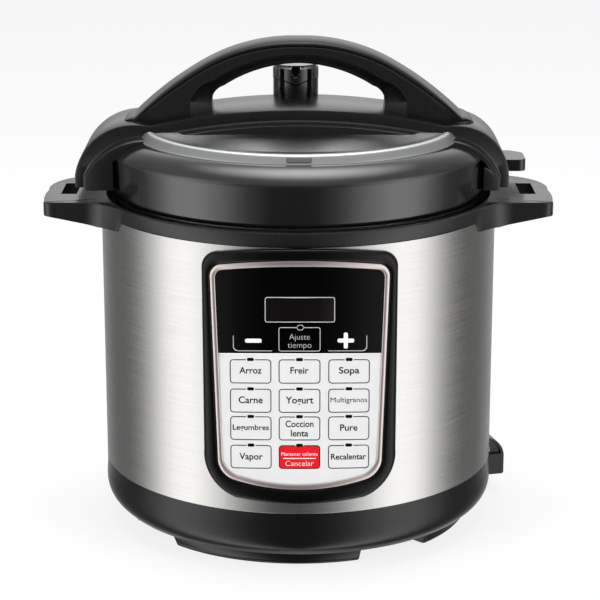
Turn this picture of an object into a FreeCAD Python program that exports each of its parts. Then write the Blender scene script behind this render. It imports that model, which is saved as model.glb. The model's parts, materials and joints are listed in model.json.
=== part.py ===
"""Electric pressure cooker: base with heater and panel, inner pot, and a lid that turns and lifts off.

Millimetres, +Z up, origin on the floor under the cooker's axis, front panel towards -Y.
Each function below makes one piece or one group of like pieces.
"""
import FreeCAD
import Part
import math
import os

V = FreeCAD.Vector
AXIS_Z = V(0, 0, 1)

# ---------------------------------------------------------------- driving dimensions
sheet = 0.6                  # steel housing
snug = 0.2                   # gap between parts that plug together
running = 0.4                # gap between curved faces that move past each other
touch = 0.1                  # gap between curved faces that lie on each other
hairline = 0.05              # gap between faces that follow the same curve

pot_inner_radius = 110.0     # sets the cooker's width
pot_height = 157.5           # sets the cooker's height
pot_wall = 1.0
pot_floor = 1.2
pot_flange = 5.4
pot_rim = 1.2                # thickness of the pot's flange
pot_flange_lift = 0.5        # the pot's flange stands this far above the shell
pot_corner = 12.0
shell_gap = 1.5              # between inner pot and pressure shell
shell_wall = 1.8
shell_corner = 10.0
shell_hole = 40.0
lug_count = 6
lug_span = 26.0              # degrees each bayonet lug covers
lug_reach = 3.6              # how far the shell's lugs stand out of its flange
flange_reach = 2.7
lug_gap = 0.7                # from the shell's lugs to the lid's skirt
lid_gap = 4.0                # from the lid cover's skirt to the collar

foot_height = 3.0
foot_width = 22.0
foot_inset = 8.5             # from the base ring's lower edge to the feet
foot_span = 63.0             # degrees each foot covers
foot_turn = -12.0            # the feet's pattern is turned from the front by this
floor_z = 11.5               # underside of the base ring
floor_wall = 3.0
ring_wall = 3.4
ring_curve_drop = 6.2        # the base ring curves in from this far below the housing
ring_curve_in = 10.5
floor_hole_inset = 17.0      # from the feet to the service opening in the floor
cover_overlap = 11.0
cover_thickness = 2.0
spigot_height = 8.0
spigot_wall = 2.6

board_x, board_front, board_back = 48.0, -2.0, 54.0
board_lift = 10.5
board_thickness = 1.6
relay_height = 14.0
shield_clearance = 0.4       # over the tallest part of the power board
shield_thickness = 0.6
shield_gap = 7.4             # from the heat shield up to the shell
seat_drop = 3.8              # the housing stands this far below the shell's floor

plate_inset = 24.5           # from the shell's wall to the heating plate
plate_thickness = 8.0
hub_height = 6.0
hub_outer, hub_inner = 44.0, 26.0
spring_plate_thickness = 1.2
spring_plate_margin = 7.0
element_inset, element_wire = 22.0, 3.6
element_end = 8.0            # degrees from the back to each end of the heater tube
tail_angle = 12.5            # degrees from the back to each of its terminals
tie_inset = 14.3             # from the shell's outside to the bolts that hold it
sleeve_radius = 5.0
sensor_bore = 12.1

collar_drop = 2.7            # from the shell's top to the housing's top
collar_band = 9.3            # visible height of the collar
moat_depth = 19.4
moat_wall = 3.3
collar_wall = 2.2
grip_reach = 36.0            # how far a side handle stands out of the body
grip_front, grip_back = -47.5, 42.0
grip_end_thickness = 9.7
grip_root_thickness = 16.0
slot_inset, slot_length_x = 21.0, 10.5        # slot in a side handle, from its end
slot_front, slot_back = -20.0, 13.5

panel_x = 1.0                # the panel's middle
panel_half_width = 61.2
panel_lift = 7.5             # from the housing's foot to the panel
panel_proud = 4.0            # how far the panel's rolled frame stands out of the housing
panel_web = 1.2              # back wall of the panel
trim_proud = 1.8             # thickness of the panel's silver ring
foil = 0.6
first_key_rise = 18.0        # lowest keys, above the foil's lower edge
key_steps = 7.6              # key rows that the foil's height would hold
time_key_step, sign_key_step = 4.15, 4.07     # counted in rows from the lowest keys
display_steps = (4.72, 5.59)

lid_rise = 1.1               # from the collar's rim to the lid cover's edge
skirt_height = 27.0
skirt_flare = 0.6
dome_rise, dome_run = 9.8, 16.8
trim_rise, trim_run = 5.0, 3.7                # bevel of the steel plate
trim_crown = 1.3
trim_seat_drop = 1.8         # the steel plate's bed lies this far below the dome's edge
cover_wall = 1.8
skirt_wall = 1.5
inner_lid_wall = 1.5
inner_lid_drop = 12.3        # from the dome's edge to the inner lid
inner_lid_inset = 21.5
seal_space = 11.5            # from the pot's rim to the inner lid's shoulder
seal_width = 12.2
seal_gap = 2.7
lid_screw_circle = 62.0

bridge_front, bridge_back = -30.0, 34.0       # saddle on the lid
bridge_step = 10.0           # lower front band stands forward of the saddle by this
bridge_rise = 15.0           # from the steel plate to the saddle's crown
bridge_knee_drop = 10.8
bridge_knee_inset = 11.5
fin_left_out, fin_right_out = 13.8, 5.6       # outer faces of the two fins, from the body
fin_lift = 6.6
fin_band = 6.4               # the front band is this much smaller than the saddle all round
fin_inner_out = 8.5          # inner faces of the fins, from the steel plate
tab_out, tab_lift, tab_thickness = 16.4, 2.0, 8.0
tab_front, tab_back = 12.0, 45.0
tongue_rise = 5.2

handle_rise = 43.9           # from the saddle's crown to the handle's top
handle_thickness = 15.9
handle_half_width = 17.0
handle_tip_half_width = 22.0
handle_tip_out = 8.8         # from the steel plate's edge to the handle's tips
post_inner, post_outer = 56.0, 71.3
seam_drop = 4.2              # the handle's cover strip is this thick
handle_screw_x, handle_screw_y = 63.6, 8.0
screw_head_depth = 10.5      # from the saddle's crown to where the handle's screws bear, inside it

valve_x, valve_y = -1.8, 34.0
knob_radius = 15.5
knob_rise = 21.3             # from the saddle's tongue to the knob's lower edge
knob_height = 9.7
valve_clearance = 4.2        # from the knob to the bore through the lid
weight_slack = 2.1
pipe_radius = 4.0
pipe_rise = 6.7
float_y = 64.0
float_travel = 5.0
lock_travel = 5.0

inlet_angle = 15.0           # degrees from +X towards the back
inlet_reach = 14.5           # out of the body
inlet_depth = 3.0            # from the body in to the socket's face
inlet_root = 22.0            # from the body in to where the hood starts
inlet_lift, inlet_drop = 1.5, 1.8             # from the floor, from the housing
inlet_half = 11.8
inlet_mouth_rise, inlet_mouth_height = 4.7, 19.0
inlet_width = 15.0
inlet_screw_y, inlet_screw_rise = 17.0, 21.5

# ---------------------------------------------------------------- sizes worked out from them
shell_inner = pot_inner_radius + pot_wall + shell_gap
shell_outer = shell_inner + shell_wall
flange_radius = shell_outer + flange_reach
lug_radius = flange_radius + lug_reach
lid_skirt_inner = lug_radius + lug_gap
lid_skirt_outer = lid_skirt_inner + inner_lid_wall
cover_skirt_inner = lid_skirt_outer + running
cover_skirt_outer = cover_skirt_inner + skirt_wall
moat_radius = cover_skirt_outer + lid_gap
body_radius = moat_radius + moat_wall         # outside of housing, base ring and collar
crease_radius = cover_skirt_outer + skirt_flare
trim_radius = crease_radius - dome_run
trim_top_radius = trim_radius - trim_run

floor_top = floor_z + floor_wall
board_z = floor_z + board_lift
board_top = board_z + board_thickness
shield_z = board_top + relay_height + shield_clearance
shell_bottom_z = shield_z + shield_thickness + shield_gap
shell_floor_top = shell_bottom_z + shell_wall
spring_plate_bottom = shell_floor_top
hub_bottom = spring_plate_bottom + spring_plate_thickness
plate_bottom = hub_bottom + hub_height
plate_top = plate_bottom + plate_thickness
pot_bottom_z = plate_top
pot_top = pot_bottom_z + pot_height
shell_top_z = pot_top - pot_rim - pot_flange_lift
flange_bottom = shell_top_z - shell_wall
seat_z = shell_bottom_z - seat_drop           # housing stands here on the base ring
housing_top = shell_top_z - collar_drop       # collar stands here on the housing
rim_z = housing_top + collar_band
moat_floor_z = rim_z - moat_depth
lid_skirt_z = rim_z + lid_rise
crease_z = lid_skirt_z + skirt_height
trim_z = crease_z + dome_rise
trim_top_z = trim_z + trim_rise
trim_bed_z = trim_z - trim_seat_drop
inner_lid_top = trim_z - inner_lid_drop
inner_lid_flat = trim_radius - inner_lid_inset
shoulder_z = pot_top + seal_space
seal_outer = lid_skirt_inner - seal_gap
seal_inner = seal_outer - seal_width
lid_lug_top = flange_bottom - running
bridge_crown_z = trim_top_z + bridge_rise
bridge_knee_x = trim_radius - bridge_knee_inset
bridge_knee_z = bridge_crown_z - bridge_knee_drop
fin_left, fin_right = body_radius + fin_left_out, body_radius + fin_right_out
fin_bottom_z = rim_z + fin_lift
fin_inner = trim_radius + fin_inner_out
tab_reach = fin_right + tab_out
tab_z = fin_bottom_z + tab_lift
tongue_top = trim_top_z + tongue_rise
handle_top_z = bridge_crown_z + handle_rise
grip_under_z = handle_top_z - handle_thickness
handle_tip_x = trim_radius + handle_tip_out
handle_screw_seat = bridge_crown_z - screw_head_depth
knob_split_z = tongue_top + knob_rise
knob_top_z = knob_split_z + knob_height
valve_bore = knob_radius - valve_clearance
pipe_top = trim_top_z + pipe_rise

ring_curve_z = seat_z - ring_curve_drop
ring_low_radius = body_radius - ring_curve_in
foot_outer = ring_low_radius - foot_inset
foot_inner = foot_outer - foot_width
foot_angles = [foot_turn - 90 + 90 * i for i in range(4)]
gap_angles = [a + 45 for a in foot_angles]
floor_hole = foot_inner - floor_hole_inset
spigot_outer = body_radius - sheet - snug
spigot_inner = spigot_outer - spigot_wall
cover_radius = floor_hole + cover_overlap
cover_bottom = floor_z - cover_thickness
cover_screw_radius = floor_hole + cover_overlap / 2
plate_radius = shell_inner - plate_inset
element_radius = plate_radius - element_inset
tie_radius = shell_outer - tie_inset
handle_reach = body_radius + grip_reach       # furthest point of a side handle from the axis
slot_x = handle_reach - slot_inset
panel_web_radius = body_radius + panel_web
panel_radius = body_radius + panel_proud
inlet_end = body_radius + inlet_reach
inlet_face = body_radius - inlet_depth
inlet_low, inlet_high = floor_z + inlet_lift, seat_z - inlet_drop
inlet_mouth_low = floor_z + inlet_mouth_rise
inlet_mouth_high = inlet_mouth_low + inlet_mouth_height
inlet_screw_z = floor_z + inlet_screw_rise


def panel_shape(narrower, waist, lower, higher):
    """Sizes of one outline of the panel, by how much smaller than the frame it is."""
    return dict(side=panel_half_width - narrower, waist=panel_half_width - waist, top=housing_top - lower,
                bottom=seat_z + panel_lift + higher)


bezel_shape = panel_shape(0.0, 1.4, 0.0, 0.0)
trim_outer_shape = panel_shape(5.0, 9.0, 8.4, 9.3)
trim_inner_shape = panel_shape(8.5, 12.2, 11.7, 12.9)
key_step = (trim_inner_shape["top"] - trim_inner_shape["bottom"]) / key_steps
first_key_z = trim_inner_shape["bottom"] + first_key_rise
key_rows = [first_key_z + key_step * i for i in (3, 2, 1, 0)]
key_pitch_x = trim_inner_shape["waist"] - 18.1
display_half = trim_inner_shape["side"] - 31.0
display_low, display_high = (first_key_z + key_step * s for s in display_steps)

parts = {}


# ---------------------------------------------------------------- shared shapes
def node(name, *solids):
    parts[name] = solids[0] if len(solids) == 1 else Part.makeCompound(list(solids))


def rod(r, z0, z1, x=0.0, y=0.0):
    return Part.makeCylinder(r, z1 - z0, V(x, y, z0))


def tube(r_out, r_in, z0, z1, x=0.0, y=0.0):
    return rod(r_out, z0, z1, x, y).cut(rod(r_in, z0 - 1, z1 + 1, x, y))


def block(x0, x1, y0, y1, z0, z1):
    return Part.makeBox(x1 - x0, y1 - y0, z1 - z0, V(x0, y0, z0))


def sector(r_in, r_out, z0, z1, middle, span):
    """Part of a ring that covers span degrees about the direction middle."""
    pie = Part.makeCylinder(r_out, z1 - z0, V(0, 0, z0), AXIS_Z, span)
    pie = pie.cut(rod(r_in, z0 - 1, z1 + 1))
    pie.rotate(V(0, 0, 0), AXIS_Z, middle - span / 2)
    return pie


def at_angle(radius, degrees):
    a = math.radians(degrees)
    return radius * math.cos(a), radius * math.sin(a)


def face(points, plane="XZ"):
    """Closed outline of straight lines; a triple ("arc", through, end) makes a round stretch."""
    def place(p):
        return V(p[0], 0, p[1]) if plane == "XZ" else V(p[0], p[1], 0)

    edges = []
    last = points[0]
    for item in list(points[1:]) + [points[0]]:
        if item[0] == "arc":
            edges.append(Part.Arc(place(last), place(item[1]), place(item[2])).toShape())
            last = item[2]
        elif math.dist(item, last) > 1e-7:
            edges.append(Part.LineSegment(place(last), place(item)).toShape())
            last = item
    return Part.Face(Part.Wire(edges))


def turned(points):
    """Outline of (radius, height) points turned once about the cooker's axis."""
    return face(points).revolve(V(0, 0, 0), AXIS_Z, 360)


def slab(points, y0, y1):
    """Front-view outline pulled along Y."""
    solid = face(points).extrude(V(0, y1 - y0, 0))
    solid.translate(V(0, y0, 0))
    return solid


def plan(points, z0, z1):
    """Plan-view outline pulled along Z."""
    solid = face(points, "XY").extrude(V(0, 0, z1 - z0))
    solid.translate(V(0, 0, z0))
    return solid


def joined(*solids):
    first = solids[0].fuse(list(solids[1:])) if len(solids) > 1 else solids[0]
    return first.removeSplitter()


def spring(x, y, z0, z1, radius, wire, turns):
    """Round-wire coil between two heights."""
    low, high = z0 + wire, z1 - wire
    helix = Part.makeHelix((high - low) / turns, high - low, radius)
    start = Part.Wire([Part.makeCircle(wire, V(radius, 0, 0), V(0, 1, 0))])
    coil = Part.Wire(helix.Edges).makePipeShell([start], True, True)
    coil.translate(V(x, y, low))
    return coil


# ---------------------------------------------------------------- base
def make_feet():
    node("foot_pads", *[
        sector(foot_inner, foot_outer - 1, 0, foot_height, a, foot_span - 2) for a in foot_angles
    ])


def ring_outside(grow):
    """Solid inside of the base ring's outer face, grown outwards a little."""
    r, low = body_radius + grow, ring_low_radius + grow
    return turned([
        (0, floor_z), (low - 1.2, floor_z), (low, floor_z + 1.2),
        ("arc", (r - 2.4, ring_curve_z - 13.0), (r, ring_curve_z)),
        (r, seat_z), (0, seat_z),
    ])


def make_base_ring():
    inner = spigot_inner
    hollow = turned([
        (0, floor_top), (ring_low_radius - ring_wall, floor_top),
        ("arc", (inner - 2.6, ring_curve_z - 11.5), (inner, ring_curve_z)),
        (inner, seat_z + spigot_height + 1), (0, seat_z + spigot_height + 1),
    ])
    ring = ring_outside(0).fuse(rod(spigot_outer, seat_z, seat_z + spigot_height))
    legs = [sector(foot_inner - 1, foot_outer, foot_height, floor_z, a, foot_span) for a in foot_angles]
    bosses = []
    bores = []
    for a in gap_angles:
        x, y = at_angle(cover_screw_radius, a)
        bosses.append(rod(4.5, floor_top, floor_top + 14, x, y))
        bores.append(rod(1.6, floor_z, floor_top + 12, x, y))
        x, y = at_angle(tie_radius, a)
        bores.append(rod(2.3, floor_z - 1, floor_top + 1, x, y))
    ring = joined(ring.cut(hollow).cut(rod(floor_hole, floor_z - 1, floor_top + 1)), *legs, *bosses)
    window = block(inlet_face - 29, inlet_end + 14, -inlet_half - snug, inlet_half + snug,
                   inlet_mouth_low - snug, inlet_mouth_high + snug)
    for bore in bores:
        ring = ring.cut(bore)
    for side in (-1, 1):
        ring = ring.cut(inlet_screw_bore(side, 1.6))
    node("base_ring", ring.cut(turned_to_inlet(window)))


def make_bottom_cover():
    vent_half, vent_pitch = 34.0, 11.0
    cover = rod(cover_radius, cover_bottom, floor_z)
    for i in range(-4, 5):
        half = vent_half - 3 * abs(i)
        y = i * vent_pitch
        cover = cover.cut(block(-half, half, y - 2, y + 2, cover_bottom - 1, floor_z + 1))
    screws = []
    for a in gap_angles:
        x, y = at_angle(cover_screw_radius, a)
        cover = cover.cut(rod(1.9, cover_bottom - 1, floor_z + 1, x, y))
        screws.append(joined(rod(3.3, cover_bottom - 2.2, cover_bottom, x, y),
                             rod(1.5, cover_bottom, floor_top + 9, x, y)))
    node("bottom_cover", cover)
    node("bottom_screws", *screws)


def make_housing():
    wall = tube(body_radius, body_radius - sheet, seat_z, housing_top)
    margin = 5.5
    half = trim_inner_shape["side"] - margin
    opening = block(panel_x - half, panel_x + half, -body_radius - 30, -body_radius / 2,
                    trim_inner_shape["bottom"] + margin, trim_inner_shape["top"] - margin)
    node("steel_housing", wall.cut(opening))


# ---------------------------------------------------------------- collar and pressure shell
def handle_plan():
    """Plan outline of the right side handle, from the body out and back."""
    e = handle_reach
    root = body_radius - 32
    return [
        (root, grip_front), (e - 8, grip_front),
        ("arc", (e - 3.0, grip_front + 2.6), (e - 1.6, grip_front + 9)),
        ("arc", (e + 0.1, grip_front + 30.5), (e - 1.0, grip_front + 43.5)),
        ("arc", (e - 8.0, grip_back - 15), (e - 32, grip_back)),
        (root, grip_back),
    ]


def make_collar():
    pocket_depth = 4.5
    inner_wall = shell_outer + snug
    band = turned([
        (inner_wall, moat_floor_z - 2.5), (spigot_outer, moat_floor_z - 2.5),
        (spigot_outer, housing_top), (body_radius, housing_top), (body_radius, rim_z - 0.6),
        (body_radius - 0.6, rim_z), (moat_radius, rim_z), (moat_radius, moat_floor_z),
        (inner_wall + collar_wall, moat_floor_z), (inner_wall + collar_wall, flange_bottom),
        (inner_wall, flange_bottom),
    ])
    root = body_radius - 32
    low, end_low = rim_z - grip_root_thickness, rim_z - grip_end_thickness
    grip = plan(handle_plan(), low, rim_z)
    under = slab([
        (root, low - 50), (handle_reach + 10, low - 50), (handle_reach + 10, end_low),
        (handle_reach - 6, end_low), (body_radius + 2, low), (root, low),
    ], grip_front - 30, grip_back + 30)
    slot = block(slot_x, slot_x + slot_length_x, slot_front, slot_back, low - 1, rim_z + 1)
    pocket = plan([
        (root, grip_front + 7), (body_radius + 5, grip_front + 7),
        (body_radius + 6.5, slot_back + 8), (root, slot_back + 20),
    ], rim_z - pocket_depth, rim_z + 1)
    grip = grip.cut(under).cut(rod(body_radius + hairline, low - 1, housing_top)).cut(slot).cut(pocket)
    grip = grip.cut(rod(moat_radius, low - 1, rim_z + 1))
    left = grip.copy().mirror(V(0, 0, 0), V(1, 0, 0))
    node("collar", joined(band, grip, left))


def make_pressure_shell():
    r = shell_outer
    corner = shell_corner
    wall = turned([
        (shell_hole, shell_bottom_z), (r - corner, shell_bottom_z),
        ("arc", (r - 0.293 * corner, shell_bottom_z + 0.293 * corner), (r, shell_bottom_z + corner)),
        (r, flange_bottom), (flange_radius, flange_bottom), (flange_radius, shell_top_z),
        (shell_inner, shell_top_z), (shell_inner, shell_bottom_z + corner),
        ("arc", (shell_inner - 0.293 * corner + 0.7, shell_floor_top + 0.293 * corner - 0.7),
         (shell_inner - corner + 1.8, shell_floor_top)),
        (shell_hole, shell_floor_top),
    ])
    lugs = [
        sector(flange_radius - 0.5, lug_radius, flange_bottom, shell_top_z, 360 / lug_count * i, lug_span)
        for i in range(lug_count)
    ]
    wall = joined(wall, *lugs)
    for hole in element_holes(5.0):
        wall = wall.cut(hole)
    node("pressure_shell", wall)


def make_inner_pot():
    r = pot_inner_radius + pot_wall
    top = pot_top
    corner = pot_corner
    k = 0.293
    node("inner_pot", turned([
        (0, pot_bottom_z), (r - corner, pot_bottom_z),
        ("arc", (r - k * corner, pot_bottom_z + k * corner), (r, pot_bottom_z + corner)),
        (r, top - pot_rim), (r + pot_flange, top - pot_rim), (r + pot_flange, top),
        (pot_inner_radius + 0.8, top), (pot_inner_radius, top - 0.8),
        (pot_inner_radius, pot_bottom_z + corner),
        ("arc", (pot_inner_radius - k * corner + 0.4, pot_bottom_z + pot_floor + k * corner - 0.4),
         (pot_inner_radius - corner + 1.2, pot_bottom_z + pot_floor)),
        (0, pot_bottom_z + pot_floor),
    ]))


# ---------------------------------------------------------------- heater, sensor and what holds them
def element_holes(r):
    return [
        rod(r, shield_z - 8, plate_bottom, *at_angle(element_radius, 90 + side * tail_angle))
        for side in (-1, 1)
    ]


def make_ties():
    bolts = []
    sleeves = []
    for a in gap_angles:
        x, y = at_angle(tie_radius, a)
        bolts.append(joined(rod(4.6, floor_z - 2.8, floor_z, x, y), rod(2.0, floor_z, shell_bottom_z, x, y)))
        sleeves.append(tube(sleeve_radius, 2.3, floor_top, shell_bottom_z, x, y))
    node("tie_bolts", *bolts)
    node("tie_sleeves", *sleeves)


def make_heater():
    element_z = plate_bottom - 0.5
    screw_circle = (hub_outer + hub_inner) / 2

    def torus(r, end):
        ring = Part.Face(Part.Wire([Part.makeCircle(r, V(element_radius, 0, element_z), V(0, 1, 0))]))
        ring = ring.revolve(V(0, 0, 0), AXIS_Z, 360 - 2 * end)
        ring.rotate(V(0, 0, 0), AXIS_Z, 90 + end)
        return ring

    plate = joined(
        turned([(sensor_bore + 3.1, plate_bottom), (plate_radius - 2, plate_bottom),
                (plate_radius, plate_bottom + 2), (plate_radius, plate_top - 1),
                (plate_radius - 1, plate_top), (sensor_bore + 3.1, plate_top)]),
        tube(hub_outer, hub_inner, hub_bottom, plate_bottom),
    ).cut(torus(element_wire + touch, element_end - 0.5))
    tails = [
        rod(element_wire - 0.6, shield_z + 3, element_z, *at_angle(element_radius, 90 + side * tail_angle))
        for side in (-1, 1)
    ]
    spring_plate = tube(plate_radius + spring_plate_margin, hub_inner - 2, spring_plate_bottom, hub_bottom)
    for hole in element_holes(5.0):
        spring_plate = spring_plate.cut(hole)
    screws = []
    for i in range(3):
        x, y = at_angle(screw_circle, 30 + 120 * i)
        plate = plate.cut(rod(2.1, hub_bottom - 1, hub_bottom + 5.5, x, y))
        spring_plate = spring_plate.cut(rod(2.4, spring_plate_bottom - 1, hub_bottom + 1, x, y))
        screws.append(joined(rod(4, spring_plate_bottom - 2.4, spring_plate_bottom, x, y),
                             rod(2, spring_plate_bottom, hub_bottom + 5, x, y)))
    node("heating_plate", plate)
    node("heater_element", joined(torus(element_wire, element_end), *tails))
    node("spring_plate", spring_plate)
    node("plate_screws", *screws)


def make_sensor():
    low = shell_bottom_z - 1.8
    flange_low = spring_plate_bottom - 1.6
    guide = joined(
        tube(sensor_bore + 2.4, sensor_bore, low, plate_top - 4),
        tube(sensor_bore + 2.4, 7, low, low + 1.6),
        tube(hub_inner + 2, sensor_bore + 2.0, flange_low, spring_plate_bottom),
    )
    cap_r = sensor_bore - running
    head = plate_top - 2.4
    cap = joined(rod(cap_r, head, plate_top - 0.3), tube(cap_r, cap_r - 1.2, head - 10.6, head))
    node("sensor_guide", guide)
    node("sensor_cap", cap)
    node("sensor_spring", spring(0, 0, low + 1.6, head, 9.0, 0.6, 4))


def make_shield_and_switches():
    shield = tube(tie_radius + 7, 32, shield_z, shield_z + shield_thickness)
    for a in gap_angles:
        shield = shield.cut(rod(sleeve_radius + touch, shield_z - 1, shield_z + 1, *at_angle(tie_radius, a)))
    node("heat_shield", shield)
    top = shield_z + shield_thickness
    switch = joined(block(-10, 10, -72, -54, top, shell_bottom_z), block(-14, -10, -66, -60, top, top + 2),
                    block(10, 14, -66, -60, top, top + 2))
    node("pressure_switch", switch)
    fuse = Part.makeCylinder(2.6, 26, V(-66, -13, top + 2.6), V(0, 1, 0))
    node("thermal_fuse", joined(fuse, block(-70, -62, -4, 4, top, shell_bottom_z)))


# ---------------------------------------------------------------- power board
def make_power_board():
    top = board_top
    board = block(-board_x, board_x, board_front, board_back, board_z, top)
    spacers = []
    screws = []
    for x in (-board_x + 5, board_x - 5):
        for y in (board_front + 5, board_back - 5):
            board = board.cut(rod(1.8, board_z - 1, top + 1, x, y))
            spacers.append(tube(3.2, 1.6, floor_z, board_z, x, y))
            screws.append(joined(rod(2.8, top, top + 1.8, x, y), rod(1.5, board_z - 6, top, x, y)))
    node("power_board", board)
    node("board_spacers", *spacers)
    node("board_screws", *screws)
    relay = block(-36, -16, 12, 28, top, top + relay_height)
    node("relay", relay.makeFillet(0.8, [e for e in relay.Edges if abs(e.tangentAt(0).z) > 0.9]))
    node("capacitors", *[rod(6, top, top + 12.5, x, 16) for x in (-4, 11)])
    core = block(22, 42, 14, 36, top, top + 13).cut(block(26, 38, 10, 40, top + 3, top + 10))
    node("transformer", joined(core, block(26.2, 37.8, 16, 34, top + 3.2, top + 9.8)))


# ---------------------------------------------------------------- control panel
def panel_outline(side, top, waist, bottom):
    """Front-view outline: arched top, round shoulders, sides that narrow and a wide round foot."""
    right = [
        ("arc", (side - 26, top - 1.0), (side - 9.8, top - 3.6)),
        ("arc", (side - 2.8, top - 9.0), (side, top - 18.5)),
        (waist, bottom + 36),
        ("arc", (waist - 4.6, bottom + 17.5), (waist - 18, bottom + 3.0)),
    ]
    left = [
        (-waist + 18, bottom + 3.0),
        ("arc", (-waist + 4.6, bottom + 17.5), (-waist, bottom + 36)),
        (-side, top - 18.5),
        ("arc", (-side + 2.8, top - 9.0), (-side + 9.8, top - 3.6)),
        ("arc", (-side + 26, top - 1.0), (0, top)),
    ]
    foot = ("arc", (0, bottom), (-waist + 18, bottom + 3.0))
    points = [(0, top)] + right + [foot] + left[1:]

    def shift(p):
        return (p[0] + panel_x, p[1])

    return [("arc", shift(p[1]), shift(p[2])) if p[0] == "arc" else shift(p) for p in points]


def inset(shape, gap):
    """The same outline, smaller by a gap all round."""
    return dict(side=shape["side"] - gap, top=shape["top"] - gap, waist=shape["waist"] - gap,
                bottom=shape["bottom"] + gap)


def front_slab(shape):
    """A panel outline pulled through the front half of the body."""
    return slab(panel_outline(**shape), -body_radius - 30, -body_radius / 2)


def on_barrel(shape, r_in, r_out):
    """Pulls a panel outline back onto the housing, between two radii."""
    return front_slab(shape).common(tube(r_out, r_in, shape["bottom"] - 5, shape["top"] + 5))


def window_prism(gap=0.0):
    half = display_half - gap
    return block(panel_x - half, panel_x + half, -body_radius - 30, -body_radius / 2,
                 display_low + gap, display_high - gap)


def key_centres():
    """Middle of every key, from the panel's middle: twelve programme keys, time, minus and plus."""
    centres = [(column * key_pitch_x, z) for z in key_rows for column in (-1, 0, 1)]
    sign_x, sign_z = key_pitch_x - 2, first_key_z + key_step * sign_key_step
    return centres + [(0, first_key_z + key_step * time_key_step), (-sign_x, sign_z), (sign_x, sign_z)]


def make_panel():
    key_bore = 3.4
    inside = body_radius + hairline
    back = on_barrel(bezel_shape, inside, panel_web_radius)
    frame = on_barrel(bezel_shape, inside, panel_radius)
    frame = frame.cut(front_slab(trim_outer_shape))
    bezel = joined(back, frame).cut(window_prism())
    for x, z in key_centres():
        bore_start = V(panel_x + x, -body_radius - 20, z)
        bezel = bezel.cut(Part.makeCylinder(key_bore, body_radius / 2, bore_start, V(0, 1, 0)))
    node("panel_bezel", bezel)
    seat = panel_web_radius + hairline
    trim = on_barrel(inset(trim_outer_shape, hairline), seat, seat + trim_proud)
    node("panel_trim", trim.cut(front_slab(trim_inner_shape)))
    printed = on_barrel(inset(trim_inner_shape, hairline), seat, seat + foil)
    node("keypad_foil", printed.cut(window_prism()))
    glass = window_prism(hairline).common(tube(seat + foil, inside, display_low - 5, display_high + 5))
    node("display_window", glass)


def make_control_board():
    half = key_pitch_x + 11.1
    edge_gap = 2.0
    front = -math.sqrt((body_radius - sheet - edge_gap) ** 2 - (half + panel_x) ** 2)
    back = front + 1.6
    low, high = key_rows[-1] - 10.6, display_high + 11.1
    node("control_board", block(panel_x - half, panel_x + half, front, back, low, high))
    across = display_half - 1.5
    led_gap = 1.5
    led_front = led_gap - math.sqrt(body_radius ** 2 - (display_half + panel_x) ** 2)
    display = block(panel_x - across, panel_x + across, led_front, front, display_low - 1, display_high + 1)
    node("led_display", display)
    switches = []
    for x, z in key_centres():
        px = panel_x + x
        reach = -math.sqrt(panel_web_radius ** 2 - (abs(px) + 1.7) ** 2) + touch
        cap = Part.makeCylinder(1.7, front - 3.2 - reach, V(px, reach, z), V(0, 1, 0))
        body = block(px - 3, px + 3, front - 3.2, front, z - 3, z + 3)
        switches.append(joined(body, cap))
    node("key_switches", *switches)
    node("control_chips", block(-20, 0, back, back + 2.4, low + 30, low + 50),
         block(8, 16, back, back + 3.0, low + 70, low + 86))


# ---------------------------------------------------------------- mains inlet
def turned_to_inlet(shape):
    shape.rotate(V(0, 0, 0), AXIS_Z, inlet_angle)
    return shape


def inlet_screw_bore(side, r):
    start = V(body_radius - inlet_root, side * inlet_screw_y, inlet_screw_z)
    return turned_to_inlet(Part.makeCylinder(r, 40, start, V(1, 0, 0)))


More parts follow.
